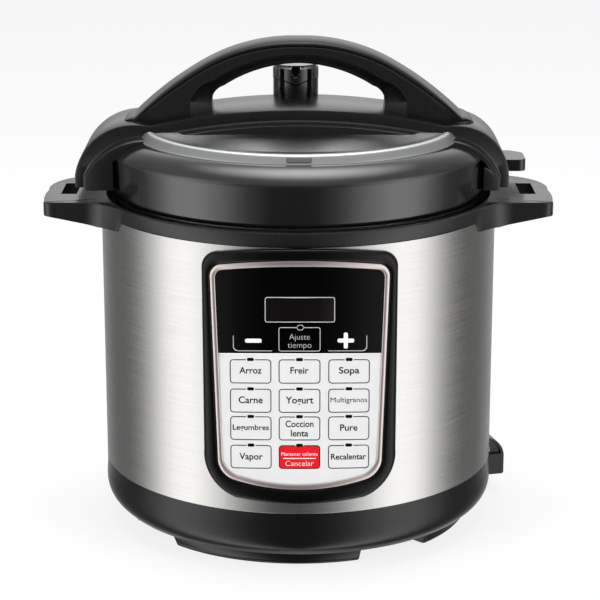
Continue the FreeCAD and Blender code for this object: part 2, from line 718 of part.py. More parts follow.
def make_inlet():
    ear_thickness = 1.6
    reach, low, high = inlet_end, inlet_low, inlet_high
    root = body_radius - inlet_root
    arch = [
        (root, low), (reach - 1, low), (reach, low + 1), (reach, high - 13.4),
        ("arc", (reach - 3.6, high - 4.8), (reach - 12.5, high)), (root, high),
    ]
    hood = slab(arch, -inlet_width, inlet_width)
    recess = slab([
        (root, high - 12.4), (reach - 2, high - 12.4),
        ("arc", (reach - 5.2, high - 5.8), (reach - 13.2, high - 1.8)), (root, high - 1.8),
    ], -inlet_width - 1, -inlet_width + 2.2)
    ear = inlet_screw_y + 2
    flange = ring_outside(touch + ear_thickness).cut(rod(root - 30, 0, seat_z + 10))
    flange = flange.common(block(root - 10, body_radius + 18, -ear, ear, low, seat_z - 0.6))
    hood = joined(hood.cut(recess), flange)
    mouth = block(root - 10, reach + 14, -inlet_half, inlet_half, inlet_mouth_low, inlet_mouth_high)
    screws = []
    for side in (-1, 1):
        head_x = math.sqrt((body_radius + touch + ear_thickness) ** 2 - (inlet_screw_y - 2) ** 2) + 0.2
        head = Part.makeCylinder(2.0, 1.2, V(head_x, side * inlet_screw_y, inlet_screw_z), V(1, 0, 0))
        shank = Part.makeCylinder(1.5, 8, V(head_x - 8, side * inlet_screw_y, inlet_screw_z), V(1, 0, 0))
        screws.append(turned_to_inlet(joined(head, shank)))
    hood = turned_to_inlet(hood.cut(mouth)).cut(ring_outside(touch))
    for side in (-1, 1):
        hood = hood.cut(inlet_screw_bore(side, 1.7))
    node("inlet_hood", hood)
    socket = block(inlet_face - 17, inlet_face, -inlet_half, inlet_half, inlet_mouth_low, inlet_mouth_high)
    pins = []
    middle = (inlet_mouth_low + inlet_mouth_high) / 2
    for y, z in ((-7, middle - 2), (7, middle - 2), (0, middle + 2)):
        pin = block(inlet_face - 23, inlet_face + 14, y - 1, y + 1, z - 2, z + 2)
        hole = block(inlet_face - 29, inlet_face + 11, y - 1.05, y + 1.05, z - 2.05, z + 2.05)
        socket = socket.cut(hole)
        pins.append(turned_to_inlet(pin))
    node("inlet_socket", turned_to_inlet(socket))
    node("inlet_pins", *pins)
    node("inlet_screws", *screws)


# ---------------------------------------------------------------- lid
def crown(radius, edge_z):
    """Shallow dome of the steel trim plate as a few cones, from its edge to its middle."""
    steps = [0.75, 0.5, 0.25, 0.0]
    return [(radius * s, edge_z + trim_crown * (1 - s * s)) for s in steps]


def lid_skin(grow):
    """Solid under the lid's visible top: skirt, dome and steel trim plate, grown a little."""
    return turned([
        (0, moat_floor_z), (crease_radius + grow, moat_floor_z), (crease_radius + grow, crease_z),
        ("arc", (trim_radius + 10.5 + grow, trim_z - 3.7 + grow), (trim_radius + grow, trim_z + grow)),
        (trim_top_radius + grow, trim_top_z + grow),
    ] + crown(trim_top_radius, trim_top_z + grow))


def make_lid_cover():
    t = cover_wall
    bed_low = trim_bed_z - t
    cover = turned([
        (cover_skirt_inner, lid_skirt_z), (cover_skirt_outer, lid_skirt_z), (crease_radius, crease_z),
        ("arc", (trim_radius + 10.5, trim_z - 3.7), (trim_radius, trim_z)),
        (trim_radius - 2.2, trim_z), (trim_radius - 2.2, trim_bed_z), (0, trim_bed_z),
        (0, bed_low), (trim_radius - 3, bed_low),
        ("arc", (trim_radius + 9.1, trim_z - 5.5), (crease_radius - t, crease_z - 0.8)),
    ])
    for x, y in cover_posts():
        cover = joined(cover, rod(4, inner_lid_top, bed_low, x, y))
        cover = cover.cut(rod(1.6, inner_lid_top - 6, trim_bed_z - 2.5, x, y))
    cover = cover.cut(valve_hole(valve_bore)).cut(float_hole(7))
    node("lid_cover", cover)
    t = 0.8
    trim = turned(
        [(trim_radius - 1.1, trim_z), (trim_radius, trim_z), (trim_top_radius, trim_top_z)]
        + crown(trim_top_radius, trim_top_z)
        + crown(trim_top_radius, trim_top_z - t)[::-1] + [(trim_top_radius - 0.5, trim_top_z - t)]
    )
    notch = block(-7.6, 8.5, -trim_radius - 6, -trim_top_radius + 5, trim_z, trim_z + 3)
    node("lid_trim_plate", trim.cut(notch).cut(valve_hole(valve_bore + 2)).cut(float_hole(7)))


def valve_hole(r):
    """Cutter through the whole lid on the valve's axis."""
    return rod(r, shoulder_z, handle_top_z, valve_x, valve_y)


def float_hole(r):
    """Cutter through the whole lid on the float's axis."""
    return rod(r, shoulder_z, handle_top_z, 0, float_y)


def cover_posts():
    return [at_angle(lid_screw_circle, a) for a in (30, 150, 210, 330)]


def saddle_outline(inset):
    """Front-view outline of the saddle over the lid with its two fins; inset makes the front band."""
    top = bridge_crown_z - 1.15 * inset
    knee_z = bridge_knee_z - 1.1 * inset
    left, right = fin_left - inset, fin_right - inset
    knee = bridge_knee_x - 0.3 * inset
    return [
        (-left, fin_bottom_z), (-left, fin_bottom_z + 6),
        ("arc", (-left + 14.6, knee_z - 11.5), (-knee, knee_z)),
        ("arc", (0, top), (knee, knee_z)),
        ("arc", (right - 14.2, knee_z - 9.8), (right, fin_bottom_z + 8)), (right, fin_bottom_z),
    ]


def make_bridge():
    saddle = slab(saddle_outline(0), bridge_front, bridge_back)
    band = slab(saddle_outline(fin_band), bridge_front - bridge_step, bridge_back + 5)
    tongue = block(valve_x - 24.2, valve_x + 25.8, bridge_back - 2, float_y + 12, trim_top_z, tongue_top)
    bridge = joined(saddle, band, tongue).cut(lid_skin(snug))
    bridge = bridge.cut(block(-fin_inner, fin_inner, -60, 60, moat_floor_z, trim_z - 6))
    bridge = bridge.cut(rod(knob_radius + 4.5, tongue_top, handle_top_z, valve_x, valve_y))
    bridge = bridge.cut(valve_hole(valve_bore)).cut(float_hole(6.5))
    tab = plan([
        (fin_right - 12, tab_front), (tab_reach - 3, tab_front), (tab_reach, tab_front + 3),
        (tab_reach, tab_back - 8), (tab_reach - 8, tab_back), (fin_right - 12, tab_back - 8),
    ], tab_z, tab_z + tab_thickness).cut(rod(crease_radius + snug, moat_floor_z, handle_top_z))
    bridge = joined(bridge, tab)
    for x, y in bridge_screws():
        bridge = bridge.cut(rod(1.7, crease_z, bridge_crown_z + 7, x, y))
        bridge = bridge.cut(rod(3.2, crease_z, handle_screw_seat, x, y))
    node("lid_bridge", max(bridge.Solids, key=lambda s: s.Volume))


def bridge_screws():
    return [(sx * handle_screw_x, sy * handle_screw_y) for sx in (-1, 1) for sy in (-1, 1)]


def handle_section(lowered, lower_tip):
    """Right half of the handle's upper line, middle to tip, as arcs; lowered gives the seam below it.
    Its points are shares of the arch's own reach and drop."""
    drop = handle_top_z - lower_tip

    def on_arch(across, down, thinner=1.0):
        return handle_tip_x * across, handle_top_z - lowered * thinner - drop * down

    return [
        ("arc", on_arch(0.281, 0.062), on_arch(0.503, 0.232)),
        ("arc", on_arch(0.733, 0.528), on_arch(0.921, 0.858, 0.55)),
        ("arc", (handle_tip_x - 1.8, lower_tip + 4.0), (handle_tip_x, lower_tip)),
    ]


def mirrored(points, start):
    """Runs a chain of points and arcs the other way on the far side of X = 0."""
    chain = [start] + points
    ends = [p[2] if p[0] == "arc" else p for p in chain]
    back = []
    for i in range(len(chain) - 1, 0, -1):
        end = (-ends[i - 1][0], ends[i - 1][1])
        if chain[i][0] == "arc":
            back.append(("arc", (-chain[i][1][0], chain[i][1][1]), end))
        else:
            back.append(end)
    return back


def handle_width_limit():
    """Upright solid with the handle's plan outline: narrow in the middle, wide and round at its tips."""
    w, t, x = handle_half_width, handle_tip_half_width, handle_tip_x
    flare, swell = x - 29.3, x - 13.3
    right = [("arc", (post_inner + 4, -w - 0.6), (flare, -t + 1.2)), ("arc", (swell, -t), (x - 4, -t + 7)),
             ("arc", (x, 0), (x - 4, t - 7)), ("arc", (swell, t), (flare, t - 1.2)),
             ("arc", (post_inner + 4, w + 0.6), (0, w))]
    left = [("arc", (-post_inner - 4, w + 0.6), (-flare, t - 1.2)), ("arc", (-swell, t), (-x + 4, t - 7)),
            ("arc", (-x, 0), (-x + 4, -t + 7)), ("arc", (-swell, -t), (-flare, -t + 1.2)),
            ("arc", (-post_inner - 4, -w - 0.6), (0, -w))]
    return plan([(0, -w)] + right + left, crease_z, handle_top_z + 10)


def make_handle():
    post_recess = -14.0      # the posts' front faces stand back to here
    tip = bridge_knee_z - 3.6
    top = handle_section(0, tip)
    seam = handle_section(seam_drop, tip)
    foot = bridge_knee_z + 2.5
    below = tip - 7
    opening = [
        ("arc", (post_inner - 26.0, grip_under_z - 3.9), (post_inner - 7.0, grip_under_z - 12.4)),
        ("arc", (post_inner - 1.4, grip_under_z - 17.4), (post_inner, grip_under_z - 23.0)),
        (post_inner, foot),
    ]
    limit = handle_width_limit()
    under = slab(saddle_outline(-touch), -60, 60)

    def closed_arch(upper):
        return slab([(0, upper[0])] + upper[1] + [(handle_tip_x, below), (-handle_tip_x, below)]
                    + mirrored(upper[1], (0, upper[0])), -30, 30)

    whole = closed_arch((handle_top_z, top))
    body = closed_arch((handle_top_z - seam_drop, seam))
    gap = slab([(0, grip_under_z)] + opening + [(-post_inner, foot)] + mirrored(opening, (0, grip_under_z)),
               -30, 30)
    cover = whole.cut(body).common(limit).cut(under)
    body = body.cut(gap).common(limit).cut(under)
    for side in (-1, 1):
        x0, x1 = sorted((side * (post_inner - 1), side * (post_outer + 0.5)))
        body = body.cut(block(x0, x1, -30, post_recess, bridge_knee_z - 2.5, grip_under_z - 15.3))
    for x, y in bridge_screws():
        body = body.cut(rod(1.6, crease_z, bridge_crown_z + 8.7, x, y))
    node("handle_body", *body.Solids)
    node("handle_cover", *[s for s in cover.Solids if s.Volume > 50])
    screws = []
    for x, y in bridge_screws():
        seat = handle_screw_seat
        screws.append(joined(rod(3, seat - 2, seat, x, y), rod(1.5, seat, bridge_crown_z + 6.7, x, y)))
    return screws


# ---------------------------------------------------------------- pressure lid, valves and lock
def make_inner_lid():
    lid_lug_thickness = 2.2
    t = inner_lid_wall
    so, si = lid_skirt_outer, lid_skirt_inner
    low = lid_lug_top - lid_lug_thickness
    top, flat, shoulder = inner_lid_top, inner_lid_flat, shoulder_z
    lid = turned([
        (si, low), (so, low), (so, shoulder - 3),
        ("arc", (so - 0.88, shoulder - 0.88), (so - 3, shoulder)), (flat + 17, shoulder),
        ("arc", (flat + 11.5, shoulder + 3.6), (flat + 8.5, top - 6)),
        ("arc", (flat + 5.6, top - 1.6), (flat, top)), (0, top),
        (0, top - t), (flat - 0.6, top - t),
        ("arc", (flat + 4.4, top - 3.0), (flat + 7.1, top - 6.7)),
        ("arc", (flat + 10.4, shoulder + 2.4), (flat + 16.4, shoulder - t)), (so - 3, shoulder - t),
        ("arc", (si - 0.45, shoulder - t - 0.45), (si, shoulder - 3)),
    ])
    lugs = [
        sector(flange_radius + lug_gap, si + 0.5, low, lid_lug_top, 360 / lug_count * (i + 0.5), lug_span)
        for i in range(lug_count)
    ]
    lid = joined(lid, *lugs)
    lid = lid.cut(valve_hole(pipe_radius + 0.3)).cut(float_hole(3.5))
    screws = []
    for x, y in cover_posts():
        low_face = top - t
        lid = lid.cut(rod(1.9, low_face - 1, top + 1, x, y))
        screws.append(joined(rod(3.4, low_face - 2, low_face, x, y), rod(1.5, low_face, trim_z - 5.8, x, y)))
    node("inner_lid", lid)
    node("lid_screws", *screws)
    under = shoulder - t
    node("sealing_ring", turned([
        (seal_inner, pot_top + 0.3), (seal_outer, pot_top + 0.3), (seal_outer, under - 0.4),
        (seal_inner, under - 0.4), (seal_inner, under - 3.0), (seal_outer - 4.5, under - 3.4),
        (seal_outer - 4.5, pot_top + 3.3), (seal_inner, pot_top + 2.9),
    ]))
    rack = tube(seal_inner - 0.6, seal_inner - 1.9, pot_top + 1.5, under)
    node("ring_rack", rack)


def make_valve():
    x, y = valve_x, valve_y
    flat = inner_lid_top
    pipe_bore = 1.6
    node("exhaust_pipe", joined(tube(pipe_radius, pipe_bore, flat - 8, pipe_top, x, y),
                                tube(pipe_radius + 4.5, pipe_bore, flat, flat + 3, x, y)))
    under = flat - inner_lid_wall
    node("exhaust_nut", tube(pipe_radius + 3.6, pipe_radius + touch, under - 3, under, x, y))
    shield = joined(tube(12.5, 11.5, under - 11, under, x, y), rod(12.5, under - 12, under - 11, x, y))
    for i in range(-2, 3):
        slit = y + i * 3.6
        shield = shield.cut(block(x - 8, x + 8, slit - 0.8, slit + 0.8, under - 13, under - 10.5))
    node("block_shield", shield)
    stem_radius = 4.0
    weight_radius = valve_bore - weight_slack
    collar = tube(knob_radius - snug, valve_bore, tongue_top, knob_split_z - running, x, y)
    dip = pointer_dip(0.0)
    node("valve_collar", collar.cut(dip))
    weight = joined(rod(weight_radius, flat + 7, knob_split_z - 9.8, x, y),
                    rod(stem_radius, knob_split_z - 9.8, knob_split_z + 3.2, x, y))
    weight = weight.cut(rod(pipe_radius + running, flat, pipe_top + 0.3, x, y))
    node("valve_weight", weight)
    cap = joined(
        rod(knob_radius, knob_split_z, knob_top_z - 2.2, x, y),
        Part.makeCone(knob_radius - 0.2, knob_radius - 2.0, 2.2, V(x, y, knob_top_z - 2.2)),
        rod(weight_radius, knob_split_z - 8.8, knob_split_z, x, y),
        pointer_dip(0.45),
    )
    for i in range(6):
        gx, gy = at_angle(knob_radius + 1.6, 60 * i + 30)
        cap = cap.cut(rod(3.4, knob_split_z + 1.6, knob_top_z + 1, x + gx, y + gy))
    cap = cap.cut(rod(stem_radius + touch / 2, knob_split_z - 10, knob_split_z + 3.5, x, y))
    node("release_knob", cap)


def pointer_dip(gap):
    """Wedge at the front of the valve: the knob's pointer, or with no gap the notch it dips into."""
    x, y = valve_x, valve_y
    drop = 3.6 - gap
    half = knob_radius - 6.5 - 2.4 * gap
    wedge = slab([(x - half, knob_split_z), (x + half, knob_split_z), (x, knob_split_z - drop)],
                 y - knob_radius - 1, y)
    if gap:
        return wedge.common(tube(knob_radius, knob_radius - 3.2, knob_split_z - 10, knob_split_z + 5, x, y))
    rim = knob_radius - 1.0
    wider = slab([(x - rim, knob_split_z + 1), (x + rim, knob_split_z + 1), (x + half, knob_split_z - 0.4),
                  (x, knob_split_z - drop - 0.4), (x - half, knob_split_z - 0.4)],
                 y - knob_radius - 1, y)
    return wider.fuse(wedge)


def make_float():
    flat = inner_lid_top
    low = flat - inner_lid_wall - 0.3 - float_travel
    pin = joined(rod(3.0, low - 2.5, flat + 14, 0, float_y), rod(5.2, flat + 0.3, flat + 2.0, 0, float_y),
                 rod(4.6, flat + 13, flat + 19.5, 0, float_y))
    node("float_valve", pin)
    node("float_seal", joined(tube(7, 3.0 + touch / 2, low - 3, low, 0, float_y),
                              rod(7, low - 4.5, low - 3, 0, float_y)))
    rail_low = flat + 3.2
    slider_z = rail_low + 0.3
    half = 10.0
    reach = 24.0
    slider = block(-reach, reach, float_y - half, float_y + half, slider_z, slider_z + 2)
    bore = 5.6
    slot = joined(block(-lock_travel, 0, float_y - bore, float_y + bore, flat, flat + 9),
                  rod(bore, flat, flat + 9, 0, float_y), rod(bore, flat, flat + 9, -lock_travel, float_y))
    node("lock_slider", slider.cut(slot))
    rails = []
    for side in (-1, 1):
        y0 = float_y + side * (half + 0.4)
        y1 = y0 + side * 2.6
        ledge = float_y + side * (half - 2.2)
        rail = block(-reach - 4, reach + 8, min(y0, y1), max(y0, y1), flat, slider_z + 3)
        rail = joined(rail, block(-reach + 2, reach - 6, min(y0, ledge), max(y0, ledge), flat, rail_low))
        rails.append(rail)
    stop_x = reach + lock_travel + 9
    stop = block(stop_x, stop_x + 2, float_y - half - 3, float_y + half + 3, flat, slider_z + 4)
    tie_low = block(reach + 6, stop_x + 1, float_y - half - 3, float_y - half - 0.4, flat, slider_z + 3)
    tie_high = block(reach + 6, stop_x + 1, float_y + half + 0.4, float_y + half + 3, flat, slider_z + 3)
    node("lock_guide", joined(*rails, stop, tie_low, tie_high))
    coil = spring(0, 0, 0, stop_x - reach, 1.6, 0.35, 7)
    coil.rotate(V(0, 0, 0), V(0, 1, 0), 90)
    coil.translate(V(reach, float_y, slider_z + 1))
    node("lock_spring", coil)


# ---------------------------------------------------------------- build and write
make_feet()
make_base_ring()
make_bottom_cover()
make_housing()
make_collar()
make_pressure_shell()
make_inner_pot()
make_ties()
make_heater()
make_sensor()
make_shield_and_switches()
make_power_board()
make_panel()
make_control_board()
make_inlet()
make_lid_cover()
make_bridge()
node("handle_screws", *make_handle())
make_inner_lid()
make_valve()
make_float()

os.makedirs("parts", exist_ok=True)
for name, shape in parts.items():
    shape.exportStep("parts/" + name + ".step")
    box = shape.BoundBox
    print(f"{name:18s} solids {len(shape.Solids):2d} valid {shape.isValid()} volume {shape.Volume:10.0f}")
    print(f"    x {box.XMin:.1f} {box.XMax:.1f} y {box.YMin:.1f} {box.YMax:.1f} z {box.ZMin:.1f} {box.ZMax:.1f}")
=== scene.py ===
"""Electric pressure cooker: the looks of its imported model, piece by piece, as it is put together.

Shapes are worked out in millimetres in the model's frame (+Z up, panel towards -Y), and become metres last.
"""
import json
import bmesh
import bpy
import numpy as np
from mathutils import Matrix, Vector

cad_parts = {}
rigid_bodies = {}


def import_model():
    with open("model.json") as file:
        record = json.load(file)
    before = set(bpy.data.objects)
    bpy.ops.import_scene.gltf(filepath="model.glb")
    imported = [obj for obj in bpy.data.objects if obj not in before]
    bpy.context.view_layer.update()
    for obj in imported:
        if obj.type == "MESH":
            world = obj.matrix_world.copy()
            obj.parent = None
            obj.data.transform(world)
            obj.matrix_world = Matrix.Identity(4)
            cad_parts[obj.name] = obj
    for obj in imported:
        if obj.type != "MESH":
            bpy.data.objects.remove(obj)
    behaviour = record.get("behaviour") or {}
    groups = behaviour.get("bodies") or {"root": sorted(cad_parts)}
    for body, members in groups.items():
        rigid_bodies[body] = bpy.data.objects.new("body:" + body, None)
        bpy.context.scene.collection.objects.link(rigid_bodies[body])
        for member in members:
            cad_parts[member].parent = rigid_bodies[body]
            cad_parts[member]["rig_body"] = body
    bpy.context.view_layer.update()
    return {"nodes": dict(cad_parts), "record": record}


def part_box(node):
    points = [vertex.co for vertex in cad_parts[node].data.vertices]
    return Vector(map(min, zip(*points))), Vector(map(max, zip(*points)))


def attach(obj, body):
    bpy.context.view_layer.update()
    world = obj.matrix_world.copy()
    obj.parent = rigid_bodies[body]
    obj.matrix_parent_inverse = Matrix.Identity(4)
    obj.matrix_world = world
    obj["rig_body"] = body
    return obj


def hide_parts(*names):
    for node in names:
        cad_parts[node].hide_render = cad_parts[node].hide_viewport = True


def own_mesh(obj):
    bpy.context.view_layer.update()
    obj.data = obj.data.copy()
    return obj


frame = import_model()
scene = bpy.context.scene

# ---- Camera: a long lens in front of the cooker, a little above it, looking slightly down.
# It stands 1.4 m away, so lines that run away from it close in only slowly.
camera = bpy.data.objects.new("camera", bpy.data.cameras.new("camera"))
camera.data.lens = 127.0
camera.data.sensor_width = 36.0
camera.location = (0.0011, -1.393, 0.5298)
camera.rotation_euler = (np.radians(74.63), 0, 0)
scene.collection.objects.link(camera)
scene.camera = camera


# ---- Studio: a white surround with a tall soft light at each side of the camera, and darkness behind the
# cooker. The floor is pale and keeps a soft shadow.
def add(tree, kind, inputs=None, **settings):
    """Adds a shader node: settings are its properties; inputs maps sockets to values or to other nodes'
    outputs."""
    made = tree.nodes.new(kind)
    for key, value in settings.items():
        setattr(made, key, value)
    for key, value in (inputs or {}).items():
        if isinstance(value, bpy.types.NodeSocket):
            tree.links.new(value, made.inputs[key])
        else:
            made.inputs[key].default_value = value
    return made


def colour(code):
    """sRGB hex to the linear RGBA that a shader takes."""
    value = np.array([int(code[i:i + 2], 16) for i in (1, 3, 5)]) / 255
    value = np.where(value <= 0.04045, value / 12.92, ((value + 0.055) / 1.055) ** 2.4)
    return (*value, 1.0)


scene.view_settings.view_transform = "Standard"
world = bpy.data.worlds.new("studio")
world.use_nodes = True
scene.world = world
tree = world.node_tree
tree.nodes.clear()
direction = add(tree, "ShaderNodeTexCoord").outputs["Generated"]
facing = add(tree, "ShaderNodeVectorRotate", {"Vector": direction, "Angle": np.radians(3.0)},
             rotation_type="Z_AXIS")
split = add(tree, "ShaderNodeSeparateXYZ", {0: facing.outputs[0]})
sideways = add(tree, "ShaderNodeMath", {0: split.outputs["X"]}, operation="ABSOLUTE").outputs[0]
backwards = add(tree, "ShaderNodeMath", {0: sideways, 1: split.outputs["Y"]}, operation="ARCTAN2").outputs[0]
# backwards is the angle from straight behind the cooker (0) round either side to the camera (pi)
surround = add(tree, "ShaderNodeMapRange", {0: backwards, 1: 0.0, 2: np.pi}).outputs[0]
# brightness against that angle, 0 behind the cooker and 1 at the camera: walls see the tall soft lights; what
# looks up sees a bright sheet behind the cooker and less at its sides
wall_stops = [(0.00, 0.62), (0.14, 0.40), (0.24, 0.20), (0.36, 0.17), (0.43, 0.30), (0.50, 0.90), (0.57, 1.9),
              (0.66, 2.1), (0.75, 1.35), (0.84, 0.45), (0.92, 0.12), (1.00, 0.10)]
above_stops = [(0.00, 1.35), (0.10, 1.2), (0.17, 0.6), (0.27, 0.3), (0.40, 0.35), (0.50, 1.0), (0.60, 1.9),
               (0.70, 1.3), (0.82, 0.35), (1.00, 0.12)]
full_scale = 3.0            # the ramps hold a third of each level, and the light's strength brings it back
seen = []
for stops in (wall_stops, above_stops):
    made = add(tree, "ShaderNodeValToRGB", {0: surround})
    ramp = made.color_ramp.elements
    while len(ramp) < len(stops):
        ramp.new(0.5)
    for element, (place, level) in zip(ramp, stops):
        element.position = place
        element.color = (*[level / full_scale] * 3, 1)
    seen.append(made.outputs[0])
lifted = add(tree, "ShaderNodeMapRange", {0: split.outputs["Z"], 1: 0.0, 2: 0.14},
             interpolation_type="SMOOTHSTEP")
level = add(tree, "ShaderNodeMix", {0: lifted.outputs[0], 6: seen[0], 7: seen[1]},
            data_type="RGBA").outputs[2]
overhead = add(tree, "ShaderNodeMapRange", {0: split.outputs["Z"], 1: 0.35, 2: 0.85},
               interpolation_type="SMOOTHSTEP")
roof = add(tree, "ShaderNodeMix", {0: overhead.outputs[0], 6: level, 7: (0.2, 0.2, 0.2, 1)},
           data_type="RGBA").outputs[2]
# a round soft light hangs over the cooker, a little behind it: brightest in its middle, gone 35 degrees away
light_way, light_edge, light_peak, light_level = (0.03, 0.26, 0.965), 0.82, 2.2, (1.75, 1.75, 1.75, 1)
upward = add(tree, "ShaderNodeVectorMath", {0: direction, 1: light_way},
             operation="DOT_PRODUCT").outputs["Value"]
hanging = add(tree, "ShaderNodeMapRange", {0: upward, 1: light_edge, 2: 1.0})
peaked = add(tree, "ShaderNodeMath", {0: hanging.outputs[0], 1: light_peak}, operation="POWER")
seen_in_gloss = add(tree, "ShaderNodeMix", {0: peaked.outputs[0], 6: roof, 7: light_level},
                    data_type="RGBA").outputs[2]
path = add(tree, "ShaderNodeLightPath")
white = (1, 1, 1, 1)
gloss_light = add(tree, "ShaderNodeBackground", {0: seen_in_gloss, 1: full_scale}).outputs[0]
fill_light = add(tree, "ShaderNodeBackground", {0: white, 1: 0.55}).outputs[0]
backdrop = add(tree, "ShaderNodeBackground", {0: white, 1: 1.0}).outputs[0]
lit = add(tree, "ShaderNodeMixShader",
          {0: path.outputs["Is Glossy Ray"], 1: fill_light, 2: gloss_light}).outputs[0]
through = add(tree, "ShaderNodeMath",
              {0: path.outputs["Is Camera Ray"], 1: path.outputs["Is Transmission Ray"]},
              operation="MAXIMUM").outputs[0]
shown = add(tree, "ShaderNodeMixShader", {0: through, 1: lit, 2: backdrop}).outputs[0]
add(tree, "ShaderNodeOutputWorld", {0: shown})

far = 9                     # metres from the middle to each edge of the floor
floor_mesh = bpy.data.meshes.new("floor")
floor_mesh.from_pydata([(-far, -far, 0), (far, -far, 0), (far, far, 0), (-far, far, 0)], [], [(0, 1, 2, 3)])
floor = bpy.data.objects.new("floor", floor_mesh)
scene.collection.objects.link(floor)
floor.visible_glossy = False
pale = bpy.data.materials.new("pale studio floor")
pale.use_nodes = True
tree = pale.node_tree
tree.nodes.clear()
matt = add(tree, "ShaderNodeBsdfDiffuse", {0: colour("#f2f2f2")}).outputs[0]
glow = add(tree, "ShaderNodeEmission", {0: white, 1: 1.0}).outputs[0]
path = add(tree, "ShaderNodeLightPath").outputs["Is Camera Ray"]
# to the eye the floor is mostly plain white, and the rest of it takes the cooker's soft shadow
share = add(tree, "ShaderNodeMath", {0: path, 1: 0.82}, operation="MULTIPLY").outputs[0]
both = add(tree, "ShaderNodeMixShader", {0: share, 1: matt, 2: glow}).outputs[0]
add(tree, "ShaderNodeOutputMaterial", {0: both})
floor_mesh.materials.append(pale)

# three lamps give the matt light and the shadow; gloss sees only the surround, so they leave no second
# highlight
aim = (0, 0, 0.2)
for name, place, size, power in (
    ("left light", (-1.5, -1.3, 1.1), (0.7, 1.3), 16.0),
    ("right light", (1.5, -1.3, 1.1), (0.7, 1.3), 16.0),
    ("top light", (0.0, 0.1, 1.9), (1.0, 1.0), 24.0),
):
    lamp = bpy.data.lights.new(name, "AREA")
    lamp.shape = "RECTANGLE"
    lamp.size, lamp.size_y = size
    lamp.energy = power
    holder = bpy.data.objects.new(name, lamp)
    holder.location = place
    holder.visible_glossy = False
    holder.rotation_euler = (Vector(aim) - Vector(place)).to_track_quat("-Z", "Y").to_euler()
    scene.collection.objects.link(holder)


# ---- Bare CAD pieces: screws, boards, heater, shell and every other piece that keeps its machined shape.
# Each takes a finish by the material slot that the record gives it.
def finish(name):
    """A new material by its name, with its node tree, its main shader and the piece's own coordinates in
    metres."""
    made = bpy.data.materials.new(name)
    made.use_nodes = True
    tree = made.node_tree
    return made, tree, tree.nodes["Principled BSDF"], add(tree, "ShaderNodeTexCoord").outputs["Object"]


def grained(name, code, rough, metal=0.0, grain=1.5, depth=0.02, stretch=(1, 1, 1), spread=0.05, **sockets):
    """A finish with one noise of a real grain size (mm): it moves the roughness by spread each way and, as
    a bump of that depth, the surface. stretch scales the noise along X, Y and Z, as brushing or drawing
    does."""
    made, tree, shader, place = finish(name)
    scaled = add(tree, "ShaderNodeMapping", {0: place, 3: tuple(1000 / grain * s for s in stretch)})
    noise = add(tree, "ShaderNodeTexNoise", {0: scaled.outputs[0], 2: 1.0, 3: 3.0}).outputs[0]
    low, high = rough - spread, rough + spread
    gloss = add(tree, "ShaderNodeMapRange", {0: noise, 1: 0.3, 2: 0.7, 3: low, 4: high}).outputs[0]
    tree.links.new(gloss, shader.inputs["Roughness"])
    bump = add(tree, "ShaderNodeBump", {"Height": noise, "Strength": depth, "Distance": grain * 0.001})
    tree.links.new(bump.outputs[0], shader.inputs["Normal"])
    shader.inputs["Base Color"].default_value = colour(code)
    shader.inputs["Metallic"].default_value = metal
    for socket, value in sockets.items():
        shader.inputs[socket.replace("_", " ")].default_value = value
    return made


finishes = {
    # moulded PP, near black, silk gloss: a fine even grain that softens reflections
    "black_plastic": grained("moulded black PP", "#141415", 0.30, grain=0.8, depth=0.03),
    # moulded ABS, polished mould: a deep black with clear reflections, a faint waviness as it sinks over ribs
    "gloss_black": grained("polished black ABS", "#0b0b0c", 0.13, grain=14, depth=0.006, spread=0.03,
                           IOR=1.75),
    # cold-rolled 430 stainless steel, brushed round the body: fine level lines and a wide soft sheen
    "brushed_steel": grained("brushed stainless steel", "#bcbbb9", 0.27, metal=1.0, grain=0.5, depth=0.03,
                             stretch=(0.008, 0.008, 1), spread=0.05),
    # deep-drawn steel with its mill finish: greyer and blotchy
    "pressed_steel": grained("pressed steel", "#a9a9a8", 0.36, metal=1.0, grain=4, depth=0.05, spread=0.08),
    # chrome-plated ABS with a satin, slightly warm tone
    "trim_silver": grained("satin chrome plate", "#d8ccca", 0.42, metal=1.0, grain=8, depth=0.0, spread=0.02),
    # screen-printed polyester film
    "foil_print": grained("polyester film", "#dcdcdc", 0.42, grain=0.5, depth=0.04),
    # smoked acrylic over the display
    "dark_window": grained("smoked acrylic", "#060303", 0.08, grain=20, depth=0.0, spread=0.02),
    # translucent silicone rubber: milky and dull, it lets a little light in
    "silicone": grained("silicone rubber", "#d8d8d2", 0.55, grain=1.2, depth=0.05, Subsurface_Weight=0.2),
    # moulded rubber feet, dead matt
    "foot_rubber": grained("moulded rubber", "#191919", 0.72, grain=0.6, depth=0.15),
    # gravity-cast aluminium, tumbled: grey with a pebbled skin
    "aluminium_cast": grained("cast aluminium", "#9d9ea0", 0.45, metal=1.0, grain=1.4, depth=0.15,
                              spread=0.1),
    # zinc-plated steel screws: bright, a little blue
    "fasteners": grained("zinc-plated steel", "#b4b8bd", 0.28, metal=1.0, grain=1, depth=0.03),
    # glass-epoxy board under green solder mask, its weave just showing
    "board_green": grained("solder mask on glass epoxy", "#1c5a35", 0.35, grain=0.7, depth=0.1),
    # moulded epoxy packages
    "component_dark": grained("moulded epoxy", "#1d1d1f", 0.55, grain=0.4, depth=0.1),
    # PBT relay case and polyester capacitor wrap
    "component_blue": grained("blue PBT", "#1f3f7a", 0.4, grain=0.8, depth=0.04),
    # drawn copper and brass pins
    "copper": grained("drawn copper", "#c17b50", 0.3, metal=1.0, grain=1, depth=0.03),
    # spring steel wire, oiled
    "spring_steel": grained("spring steel wire", "#8d8f92", 0.25, metal=1.0, grain=0.5, depth=0.03),
}
for entry in frame["record"]["subparts"]:
    shape = frame["nodes"][entry["node"]]
    shape.data.materials.clear()
    shape.data.materials.append(finishes[entry["material_slot"]])


